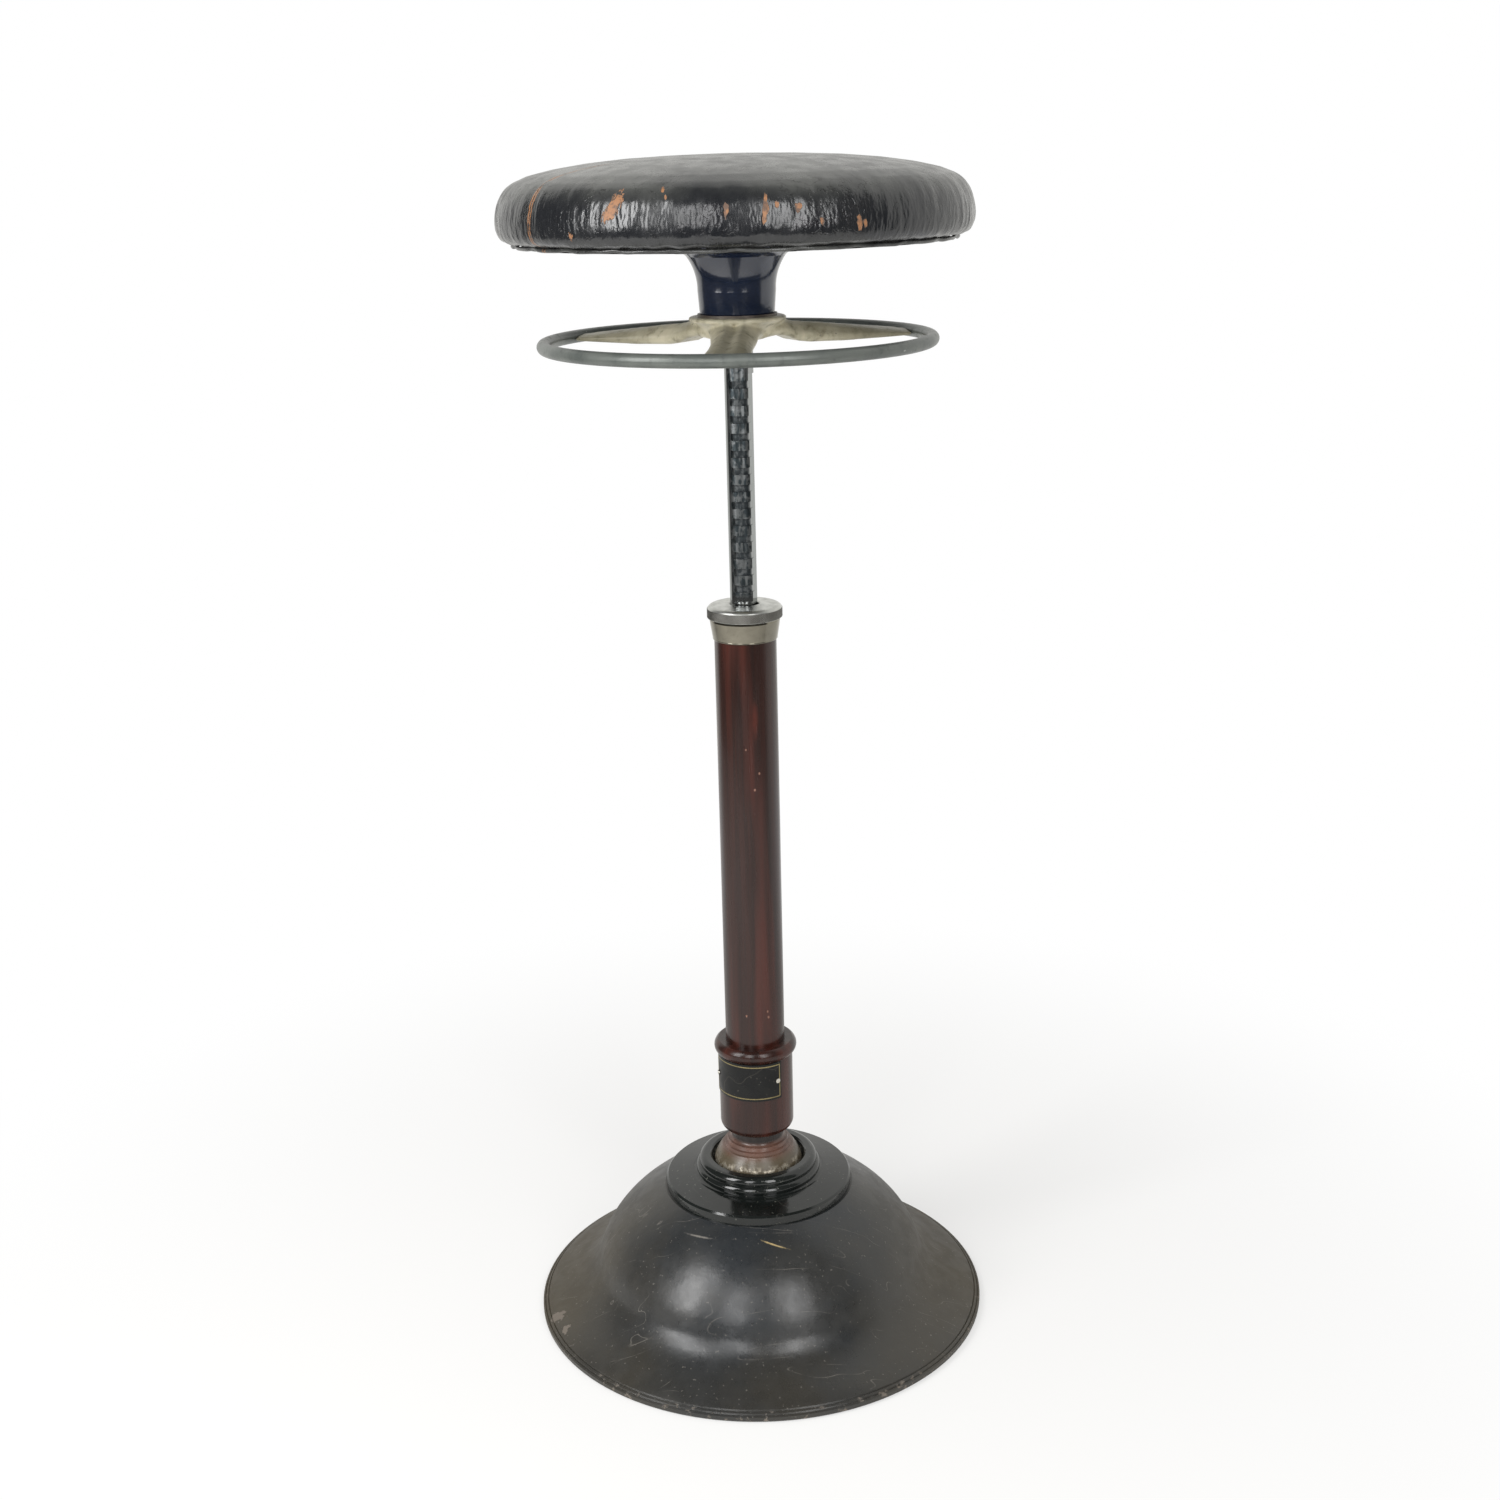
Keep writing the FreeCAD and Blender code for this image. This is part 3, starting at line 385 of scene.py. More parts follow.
@dataclass(frozen=True)
class GrainedEnamel(Finish):
    """Mahogany enamel combed along the tube: dark streaks, a red glow, a few chips to the primer."""

    dark: str = "20120f"
    red: str = "301a15"
    glow: str = "4a221a"
    chip: str = "7d5a4c"
    chips: tuple[Triple, ...] = ((8.5, -22.8, 480.0), (-1.6, -24.4, 500.1), (4.6, -24.0, 466.6),
                                 (-6.6, -23.4, 271.1), (10.8, -21.9, 274.0), (11.2, -21.8, 269.0),
                                 (14.0, 20.0, 330.0), (-20.0, 13.0, 420.0))
    chip_size: Triple = (0.8, 3.0, 1.2)

    def dress(self, coat: Coat) -> None:
        """Comb streaks down the tube, warm them in places and knock a few chips out.

        Args:
            coat: nodes of the material.
        """
        streaks = coat.mottle(size=6.0, low=0.25, high=0.75, detail=3.0, stretch=(1.0, 1.0, 0.025))
        embers = coat.mottle(size=20.0, low=0.5, high=0.72, detail=2.0, stretch=(1.0, 1.0, 0.06))
        warm = coat.many([embers, 0.75], "MULTIPLY")
        stripe = coat.many([coat.patch((6.0, -23.5, 524.0), (3.5, 6.0, 22.0), soft=0.9), 0.9], "MULTIPLY")
        knocks = coat.many([coat.patch(spot, self.chip_size, ragged=1.6) for spot in self.chips], "MAXIMUM")
        coat.layers(self.dark, (streaks, self.red), (warm, self.glow), (stripe, self.glow),
                    (knocks, self.chip))
        rubs = coat.mottle(size=12.0, low=0.3, high=0.7, stretch=(1.0, 1.0, 0.1))
        smear = add(coat.tree, "MapRange", {0: rubs, 3: 0.2, 4: 0.3}, **SMOOTH)
        coat.put("Roughness", coat.many([smear, coat.many([knocks, 0.4], "MULTIPLY")], "ADD"))
        coat.put("IOR", 1.5)
        coat.put("Specular IOR Level", 0.42)
        comb = coat.mottle(size=2.6, low=0.3, high=0.7, detail=3.0, stretch=(1.0, 1.0, 0.06))
        coat.relief((comb, 0.02), (knocks, -0.12))


@dataclass(frozen=True)
class Metal(Finish):
    """Bare or plated metal: polished, turned or oiled, with smudges and pits."""

    base: str
    dull: str
    rough: float
    smudge: float = 0.12
    pits: float = 0.3
    turned: float = 0.0
    pit: str = "2a2825"

    def dress(self, coat: Coat) -> None:
        """Smudge the metal, pit it, and draw turning lines round it where it was turned.

        Args:
            coat: nodes of the material.
        """
        smear = coat.mottle(size=9.0, low=0.35, high=0.72)
        spots = coat.many([coat.mottle(size=2.4, low=0.70, high=0.75, detail=1.0), self.pits], "MULTIPLY")
        coat.layers(self.base, (coat.many([smear, 0.5], "MULTIPLY"), self.dull), (spots, self.pit))
        coat.put("Metallic", 1.0)
        dull = add(coat.tree, "MapRange", {0: smear, 3: self.rough, 4: self.rough + self.smudge}, **SMOOTH)
        coat.put("Roughness", coat.many([dull, coat.many([spots, 0.4], "MULTIPLY")], "ADD"))
        if self.turned:
            # Real turning lines are a few tenths of a millimetre apart; these are coarser, to show.
            lines = coat.mottle(size=1.4, low=0.3, high=0.7, detail=2.0, stretch=(0.02, 0.02, 1.0))
            coat.relief((lines, self.turned))


@dataclass(frozen=True)
class NotchedNickel(Finish):
    """Polished nickel on the height rod, with old grease packed in its notches and smeared over the lands."""

    base: str = "a0a2a2"
    glint: str = "d9dbdb"
    film: str = "42494c"
    grease: str = "1f2427"
    skin: float = 10.75
    flat: float = 6.9
    cap: float = 612.0

    def dress(self, coat: Coat) -> None:
        """Grease the notched front, and leave the flat and the band at the cap wiped clean.

        Args:
            coat: nodes of the material.
        """
        off_flat = add(coat.tree, "MapRange", {0: coat.x, 1: self.flat * MM, 2: (self.flat - 0.8) * MM},
                       **SMOOTH)
        over_cap = add(coat.tree, "Math", {0: coat.z, 1: self.cap * MM}, operation="SUBTRACT")
        past_cap = add(coat.tree, "Math", {0: over_cap}, operation="ABSOLUTE")
        wiped = add(coat.tree, "MapRange", {0: past_cap, 1: 0.005, 2: 0.011, 3: 0.25, 4: 1.0}, **SMOOTH)
        facing = add(coat.tree, "MapRange", {0: coat.y, 1: -0.0050, 2: -0.0076}, **SMOOTH)
        front = coat.many([facing, off_flat, wiped], "MULTIPLY")
        below = add(coat.tree, "MapRange", {0: coat.radius(), 1: self.skin * MM, 2: (self.skin - 0.3) * MM},
                    **SMOOTH)
        sunk = coat.many([below, front], "MULTIPLY")
        streaks = coat.mottle(size=2.2, low=0.3, high=0.66, detail=3.0, stretch=(1.0, 1.0, 0.12))
        clouds = coat.mottle(size=7.0, low=0.34, high=0.6)
        film = add(coat.tree, "MapRange", {0: coat.many([streaks, clouds], "MULTIPLY"), 1: 0.0, 2: 0.6,
                                           3: 0.45, 4: 1.0}, **SMOOTH)
        smeared = coat.many([film, front], "MULTIPLY")
        lumps = add(coat.tree, "MapRange", {0: coat.mottle(size=3.5, low=0.3, high=0.66), 3: 0.55, 4: 1.0},
                    **SMOOTH)
        packed = coat.many([sunk, lumps], "MULTIPLY")
        coat.layers(self.base, (smeared, self.film), (packed, self.grease))
        coat.put("Metallic", add(coat.tree, "MapRange", {0: packed, 3: 1.0, 4: 0.3}, **SMOOTH))
        coat.put("Specular Tint", linear(self.glint))
        polish = add(coat.tree, "MapRange", {0: front, 3: 0.10, 4: 0.32}, **SMOOTH)
        coat.put("Roughness", coat.many([polish, coat.many([packed, 0.14], "MULTIPLY")], "ADD"))
        # Turning lines, drawn coarser than the real ones, to show.
        lines = coat.mottle(size=2.0, low=0.3, high=0.7, detail=2.0, stretch=(0.05, 0.05, 1.0))
        coat.relief((lines, 0.008), (packed, -0.05))


@dataclass(frozen=True)
class OldPaint(Finish):
    """Brushed oil paint on a casting, yellowed, with grime settled in it and knocks along it."""

    base: str
    tint: str
    grime: str
    bare: str
    rough: float
    metal: float = 0.0
    cloud: float = 16.0
    lumps: float = 0.14
    handled: float = 0.0

    def dress(self, coat: Coat) -> None:
        """Cloud the paint, grime it outwards where hands go, and knock it to what lies under it.

        Args:
            coat: nodes of the material.
        """
        dirt = coat.many([coat.mottle(size=8.0, low=0.54, high=0.74, detail=5.0), 0.7], "MULTIPLY")
        knocks = coat.mottle(size=5.0, low=0.70, high=0.73, detail=3.0)
        hands = add(coat.tree, "MapRange", {0: coat.radius(), 1: 0.042, 2: 0.120, 4: self.handled}, **SMOOTH)
        clouds = coat.mottle(self.cloud, low=0.34, high=0.68, detail=5.0)
        coat.layers(self.base, (clouds, self.tint), (hands, self.grime), (dirt, self.grime),
                    (knocks, self.bare))
        coat.put("Metallic", self.metal)
        coat.put("Roughness", coat.many([coat.many([dirt, 0.25], "MULTIPLY"), self.rough], "ADD"))
        coat.put("IOR", 1.48)
        coat.relief((coat.mottle(size=3.0, low=0.25, high=0.75), self.lumps))


@dataclass(frozen=True)
class BallPaint(Finish):
    """Brown enamel on the ball, rubbed through to bright metal near the socket's lip, with painted shade
    round its neck.
    """

    base: str = "64493f"
    dark: str = "4a372f"
    olive: str = "52493a"
    bare: str = "b0a898"
    # Painted shade under the collar: near black.
    painted_neck_shade: str = "15100f"
    lip: float = 0.1335
    worn_height: float = 0.005
    olive_height: float = 0.013
    neck: float = 0.1500
    neck_edge: float = 0.004

    def dress(self, coat: Coat) -> None:
        """Brown at the top, olive lower down, bare metal at the lip, and a painted shade round the neck under
        the collar.

        Args:
            coat: nodes of the material.
        """
        clouds = coat.mottle(size=14.0, low=0.35, high=0.66)
        worn_top = self.lip + self.worn_height
        olive_top = self.lip + self.olive_height
        olive = add(coat.tree, "MapRange", {0: coat.z, 1: olive_top, 2: worn_top}, **SMOOTH)
        by_lip = add(coat.tree, "MapRange", {0: coat.z, 1: worn_top, 2: self.lip}, **SMOOTH)
        worn = coat.many([by_lip, coat.mottle(size=4.0, low=0.46, high=0.60)], "MULTIPLY")
        # Painted shade under the collar: near black above the neck height.
        oiled = add(coat.tree, "MapRange", {0: coat.z, 1: self.neck, 2: self.neck + self.neck_edge, 4: 0.95},
                    **SMOOTH)
        coat.layers(self.base, (coat.many([clouds, 0.6], "MULTIPLY"), self.dark), (olive, self.olive),
                    (worn, self.bare), (oiled, self.painted_neck_shade))
        coat.put("Metallic", coat.many([worn, 0.75], "MULTIPLY"))
        coat.put("Roughness", add(coat.tree, "MapRange", {0: clouds, 3: 0.26, 4: 0.40}, **SMOOTH))
        coat.put("IOR", 1.5)
        # Turning lines, drawn coarser than the real ones, to show.
        lines = coat.mottle(size=1.6, low=0.3, high=0.7, detail=2.0, stretch=(0.02, 0.02, 1.0))
        coat.relief((lines, 0.04))


@dataclass(frozen=True)
class Hide(Finish):
    """Old black upholstery hide: fine pebble, upright creases, grey polish with a painted sheen on top, tan
    where it is torn.
    """

    base: str = "101217"
    # Grey of the top: partly rubbed by sitting, partly a painted sheen.
    polish: str = "525350"
    tan: str = "92643f"
    dark_tan: str = "5e4636"
    crack: str = "0b0a0a"
    side: float = 0.167
    girth: float = 0.177
    # Centre, half sizes and turn of each place where the black is rubbed through.
    scuffs: tuple[tuple[Triple, Triple, Triple], ...] = (
        ((-80.5, -155.1, 917.5), (4.0, 7.0, 13.0), (0.0, 33.0, 0.0)),
        ((-110.2, -135.2, 899.0), (2.2, 4.0, 3.6), (0.0, -20.0, 0.0)),
        ((-5.7, -175.5, 914.7), (1.7, 5.0, 5.0), (0.0, 6.0, 0.0)),
        ((19.8, -173.6, 917.0), (1.5, 5.0, 13.0), (0.0, 4.0, 0.0)),
        ((20.5, -173.6, 915.0), (2.6, 5.0, 4.5), (0.0, 0.0, 0.0)),
        ((27.6, -172.8, 916.8), (1.6, 4.0, 2.6), (0.0, 0.0, 0.0)),
        ((42.0, -170.4, 915.5), (2.2, 4.0, 3.4), (0.0, 10.0, 0.0)),
        ((57.7, -167.0, 906.3), (1.6, 4.0, 2.6), (0.0, 0.0, 0.0)),
        ((82.7, -155.7, 904.0), (2.2, 4.0, 4.6), (0.0, -14.0, 0.0)),
        ((86.5, -154.0, 903.5), (1.5, 4.0, 2.6), (0.0, 0.0, 0.0)),
        ((-46.9, -160.4, 928.1), (1.2, 4.0, 1.8), (0.0, 0.0, 0.0)),
        ((-45.0, -165.8, 923.0), (1.0, 4.0, 1.6), (0.0, 0.0, 0.0)),
        ((151.0, 92.0, 911.0), (5.0, 2.4, 6.0), (20.0, 0.0, 0.0)),
        ((30.0, 174.0, 906.0), (2.0, 5.0, 4.0), (0.0, 12.0, 0.0)),
        ((-96.0, 148.0, 914.0), (3.0, 5.0, 7.0), (0.0, -25.0, 0.0)),
        ((-170.0, 48.0, 902.0), (5.0, 2.0, 3.0), (0.0, 0.0, 0.0)),
    )
    seam: float = -143.5
    seam_start: float = 0.104
    seam_end: float = 0.124
    seam_sway: float = 0.006

    def dress(self, coat: Coat) -> None:
        """Polish the top grey, partly as a painted sheen, crack it, rub the scuffs to tan, split the seam and
        crease the side.

        Args:
            coat: nodes of the material.
        """
        out = coat.radius()
        turn = add(coat.tree, "Math", {0: coat.y, 1: coat.x}, operation="ARCTAN2")
        around = add(coat.tree, "Math", {0: turn, 1: self.girth}, operation="MULTIPLY")
        wrapped = add(coat.tree, "CombineXYZ", {0: around, 1: coat.z, 2: out})
        side = add(coat.tree, "MapRange", {0: out, 1: self.side - 0.004, 2: self.side + 0.012}, **SMOOTH)
        on_top = add(coat.tree, "MapRange", {0: side, 3: 1.0, 4: 0.1}, **SMOOTH)
        # Grey on the top: partly wear, partly a painted sheen.
        top = coat.many([coat.mottle(size=70.0, low=0.22, high=0.78, detail=6.0), on_top], "MULTIPLY")
        cracks = coat.many([coat.hairlines(size=7.0, width=0.03), coat.mottle(size=30.0, low=0.40, high=0.60),
                            0.7], "MULTIPLY")
        bare = coat.many([coat.patch(*scuff, ragged=2.2) for scuff in self.scuffs], "MAXIMUM")
        stain = coat.many([bare, coat.mottle(size=4.0, low=0.42, high=0.62)], "MULTIPLY")
        edge, split = self.seam_masks(coat)
        coat.layers(self.base, (top, self.polish), (cracks, self.crack), (bare, self.tan),
                    (stain, self.dark_tan), (edge, self.tan), (split, self.crack))
        wax = coat.mottle(size=16.0, low=0.3, high=0.7, detail=5.0)
        waxed = add(coat.tree, "MapRange", {0: wax, 3: 0.19, 4: 0.28}, **SMOOTH)
        rubbed_top = add(coat.tree, "MapRange", {0: side, 3: 0.07, 4: 0.0}, **SMOOTH)
        coat.put("Roughness", coat.many([waxed, rubbed_top, coat.many([bare, 0.35], "MULTIPLY")], "ADD"))
        coat.put("IOR", 1.5)
        coat.put("Specular IOR Level", 0.7)
        # The pebble of real hide is about half a millimetre; it is drawn at 1.8 mm, to show.
        pebble = add(coat.tree, "TexVoronoi", {"Vector": coat.place, "Scale": per_mm(1.8)}, "Distance")
        broad = coat.mottle(11.0, low=0.2, high=0.8, detail=1.0, stretch=(1.0, 0.3, 0.14), place=wrapped)
        narrow = coat.mottle(2.3, low=0.2, high=0.8, detail=0.5, stretch=(1.0, 0.4, 0.16), place=wrapped)
        folds = coat.many([broad, side], "MULTIPLY")
        fine = coat.many([narrow, side], "MULTIPLY")
        coat.relief((pebble, 0.03), (folds, 0.26), (fine, 0.18), (cracks, -0.12), (bare, -0.25),
                    (split, -0.8))

    def seam_masks(self, coat: Coat) -> tuple[Mask, Mask]:
        """Seam that runs out over the shoulder of the seat, worn to tan and split along its middle.

        Args:
            coat: nodes of the material.

        Returns:
            Mask of the worn edges and mask of the split.
        """
        turn = (0, 0, math.radians(-self.seam))
        along = add(coat.tree, "Mapping", {"Vector": coat.place, "Rotation": turn})
        run, across, _ = add(coat.tree, "SeparateXYZ", {0: along}).node.outputs
        wander = add(coat.tree, "TexNoise", {"Vector": coat.place, "Scale": per_mm(14.0), "Detail": 3.0})
        off = add(coat.tree, "Math", {0: wander, 1: self.seam_sway, 2: across}, operation="MULTIPLY_ADD")
        centred = add(coat.tree, "Math", {0: off, 1: -self.seam_sway / 2}, operation="ADD")
        gap = add(coat.tree, "Math", {0: centred}, operation="ABSOLUTE")
        near = add(coat.tree, "MapRange", {0: run, 1: self.seam_start, 2: self.seam_end}, **SMOOTH)
        wide = add(coat.tree, "MapRange", {0: gap, 1: 0.0026, 2: 0.0012}, **SMOOTH)
        thin = add(coat.tree, "MapRange", {0: gap, 1: 0.0009, 2: 0.0003}, **SMOOTH)
        edge = coat.many([wide, near, coat.mottle(size=10.0, low=0.34, high=0.52)], "MULTIPLY")
        return edge, coat.many([thin, near], "MULTIPLY")


class Shop:
    """Modelling moves that several pieces share, done with Blender's own operators."""

    @staticmethod
    def take(piece: Optional[bpy.types.Object] = None) -> None:
        """Leave edit mode, deselect everything, and select one object if one is named.

        Args:
            piece: object to select.
        """
        if bpy.context.object is not None and bpy.context.object.mode != "OBJECT":
            bpy.ops.object.mode_set(mode="OBJECT")
        bpy.ops.object.select_all(action="DESELECT")
        if piece is not None:
            piece.select_set(True)
            bpy.context.view_layer.objects.active = piece

    @staticmethod
    def lathe(name: str, outline: Sequence[tuple[float, float]], sides: int, closed: bool = True,
              loop: bool = False) -> bpy.types.Object:
        """Turn an outline: a circle is extruded and resized from ring to ring.

        Args:
            name: the new object's name.
            outline: radius and height of each ring, in metres.
            sides: vertices round each ring.
            closed: whether the first and last rings are filled.
            loop: whether the last ring is joined to the first.

        Returns:
            The turned object, with its place in its mesh.
        """
        Shop.take()
        radius, height = outline[0]
        bpy.ops.mesh.primitive_circle_add(vertices=sides, radius=radius, location=(0, 0, height),
                                          fill_type="NGON" if closed else "NOTHING")
        piece = bpy.context.object
        piece.name = name
        bpy.ops.object.transform_apply(location=True, rotation=True, scale=True)
        bpy.ops.object.mode_set(mode="EDIT")
        bpy.ops.mesh.select_all(action="SELECT")
        for next_radius, next_height in [*outline[1:], *(outline[:1] if loop else [])]:
            bpy.ops.mesh.extrude_region_move(TRANSFORM_OT_translate={"value": (0, 0, next_height - height)})
            share = next_radius / radius
            bpy.ops.transform.resize(value=(share, share, 1.0), center_override=(0, 0, next_height))
            radius, height = next_radius, next_height
        bpy.ops.mesh.select_all(action="SELECT")
        bpy.ops.mesh.remove_doubles(threshold=0.000005)
        bpy.ops.mesh.normals_make_consistent(inside=False)
        bpy.ops.object.mode_set(mode="OBJECT")
        return piece

    @staticmethod
    def apply(piece: bpy.types.Object, kind: str, **settings) -> None:
        """Add a modifier and apply it.

        Args:
            piece: object to change.
            kind: Blender's name for the modifier.
            settings: its settings.
        """
        Shop.take(piece)
        made = piece.modifiers.new(kind.title(), kind)
        for key, value in settings.items():
            setattr(made, key, value)
        bpy.ops.object.modifier_apply(modifier=made.name)

    @staticmethod
    def copy_node(node: str, name: str) -> bpy.types.Object:
        """Copy a CAD node into a new piece with its doubles merged.

        Args:
            node: the CAD node.
            name: the new piece.

        Returns:
            The copy, free of the CAD frame.
        """
        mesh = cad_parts[node].data.copy()
        mesh.name = name
        piece = bpy.data.objects.new(name, mesh)
        bpy.context.scene.collection.objects.link(piece)
        Shop.take(piece)
        bpy.ops.object.mode_set(mode="EDIT")
        bpy.ops.mesh.select_all(action="SELECT")
        bpy.ops.mesh.remove_doubles(threshold=0.00002)
        bpy.ops.object.mode_set(mode="OBJECT")
        return piece

    @staticmethod
    def points(piece: bpy.types.Object) -> np.ndarray:
        """Read the vertices of a piece.

        Args:
            piece: object to read.

        Returns:
            Their places, one row each.
        """
        spots = np.empty(len(piece.data.vertices) * 3, np.float32)
        piece.data.vertices.foreach_get("co", spots)
        return spots.reshape(-1, 3).astype(float)

    @staticmethod
    def put_points(piece: bpy.types.Object, spots: np.ndarray) -> None:
        """Move the vertices of a piece to new places."""
        piece.data.vertices.foreach_set("co", spots.astype(np.float32).ravel())
        piece.data.update()

    @staticmethod
    def settle(piece: bpy.types.Object, finish: Finish, body: Optional[Body], *nodes: str) -> None:
        """Give a piece its finish and its body, and hide the CAD nodes that it replaces.

        Args:
            piece: finished object.
            finish: its finish.
            body: body that it rides on, or None for one that is left unattached.
            nodes: CAD nodes that it replaces.
        """
        piece.data.materials.clear()
        piece.data.materials.append(finish.make())
        Shop.take(piece)
        bpy.ops.object.shade_smooth_by_angle(angle=math.radians(SHARP))
        if body is not None:
            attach(piece, body.value)
        if nodes:
            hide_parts(*nodes)
        LOG.info("%s: %d vertices, %s", piece.name, len(piece.data.vertices), finish.name)


# Upholstery hide, dyed and waxed: black with a broken shine, grey where it is sat on and there also a painted
# sheen, tan where it is torn.
HIDE = Hide("old_black_hide", "leather")
# Stove enamel on cast iron: a satin black with blurred lights, browned and scratched by shoes, and browned on
# its sides by a painted warm sheen.
DOME = DomeEnamel("worn_black_stove_enamel", "base_enamel")
# The same enamel where no shoe reaches: a deep black mirror with a few specks.
RING = GlossEnamel("gloss_black_stove_enamel", "ring_enamel", base="111413", tint="191c1b", worn="6a6a62",
                   rough=0.08, cloud=40.0, specks=0.4, scratches=0.12)
# Dipped enamel: a mirror too, with a blue cast, and nearly unmarked under the seat.
NECK = GlossEnamel("blue_black_enamel", "neck_enamel", base="161e30", tint="1d273c", worn="7c8088",
                   rough=0.10, cloud=50.0, specks=0.03, scratches=0.05, shine=0.85)
# Enamel grained like mahogany and varnished: brown streaks with red in them, under a soft sheen.
COLUMN = GrainedEnamel("grained_mahogany_enamel", "column_enamel")
# Enamel that the socket rubs: dull brown going to olive, bright metal at the lip, and painted shade under the
# collar.
BALL = BallPaint("rubbed_brown_enamel", "ball_brown")
# Nickel plate with grease on it: sharp bright sides, and a dark, blurred front.
ROD = NotchedNickel("greased_nickel_plate", "nickel")
# Nickel plate, dulled: light grey with soft lights.
CAP = Metal("dulled_nickel_plate", "nickel", base="c2c3bf", dull="a3a4a0", rough=0.30)
# Nickel plate with a satin polish: warm grey, with clear-cut lights.
SATIN = Metal("satin_nickel_plate", "nickel", base="7f7b6f", dull="6f6b60", rough=0.11, smudge=0.08, pits=0.2)
# Nickel plate over a rolled knurl: greyer, because dirt stays in the hollows.
KNURL = Metal("rolled_nickel_knurl", "nickel", base="6b6a66", dull="55544f", rough=0.30, pits=0.4)
# Steel from the lathe: mid grey, with fine lines round it.
STEEL = Metal("turned_steel", "inner_steel", base="8d8c8a", dull="6d6a66", rough=0.26, smudge=0.14,
              turned=0.02)
# Steel blackened in oil: nearly black, with a low sheen.
OILED = Metal("oiled_black_steel", "bolt_steel", base="3f3e3d", dull="2c2a28", rough=0.36, smudge=0.16)
# Spring wire blackened in oil: as dark as the bolts.
SPRING = Metal("oiled_spring_steel", "inner_steel", base="3f3e3d", dull="2c2a28", rough=0.36, smudge=0.16)
# Bearing bronze: brown gold, turned, and dulled by oil.
BRONZE = Metal("oiled_bearing_bronze", "bronze", base="9a7144", dull="6f5030", rough=0.28, smudge=0.14,
               turned=0.02)
# Oil paint brushed on a casting: warm cream with lumps, greyed outwards where hands go.
CREAM = OldPaint("yellowed_cream_paint", "spider_paint", base="c0b9a1", tint="9c967f", grime="625e4a",
                 bare="7d786a", rough=0.36, handled=0.75)
# Thin paint on the ring, rubbed by hands: green grey with a slight sheen of metal.
GREY = OldPaint("rubbed_grey_paint", "wheel_grey", base="646864", tint="525754", grime="444844",
                bare="9a9d98", rough=0.36, metal=0.2, cloud=30.0, lumps=0.06)
# Enamel baked on sheet metal: a flat black with little shine.
PLATE = GlossEnamel("black_plate_enamel", "plate_black", base="0b0c0d", tint="121312", worn="6f6a60",
                    rough=0.24, cloud=20.0, specks=0.3, scratches=0.3, shine=0.26)
# Brass with its gilding rubbed off: a dull gold line.
GILT = Metal("rubbed_gilt_brass", "plate_black", base="968a66", dull="746b52", rough=0.26, smudge=0.16,
             pits=0.4)
# Bare rivet heads: a small white glint.
RIVET = Metal("bright_rivet_metal", "rivet_metal", base="d8d4ca", dull="b5b0a4", rough=0.22, pits=0.2)
# Plywood stained black: matt and even.
BOARD = OldPaint("blackened_ply", "board_black", base="1b1a19", tint="171615", grime="131211", bare="332e29",
                 rough=0.55, lumps=0.04)
# Blued steel tacks: blue black, with a low sheen.
TACK = Metal("blued_tack_steel", "tack_steel", base="34353a", dull="26272a", rough=0.34, smudge=0.14,
             pits=0.2)
# Steel washer gone brown: dull, with some metal left in its shine.
BROWN = OldPaint("browned_washer", "inner_steel", base="5a5148", tint="463f38", grime="332e29", bare="7c756b",
                 rough=0.4, metal=0.3)
# Curled hair: matt, brown and lumpy.
STUFFING = OldPaint("curled_hair_stuffing", "stuffing", base="8a7a62", tint="75674f", grime="5c5140",
                    bare="a08f74", rough=0.8)


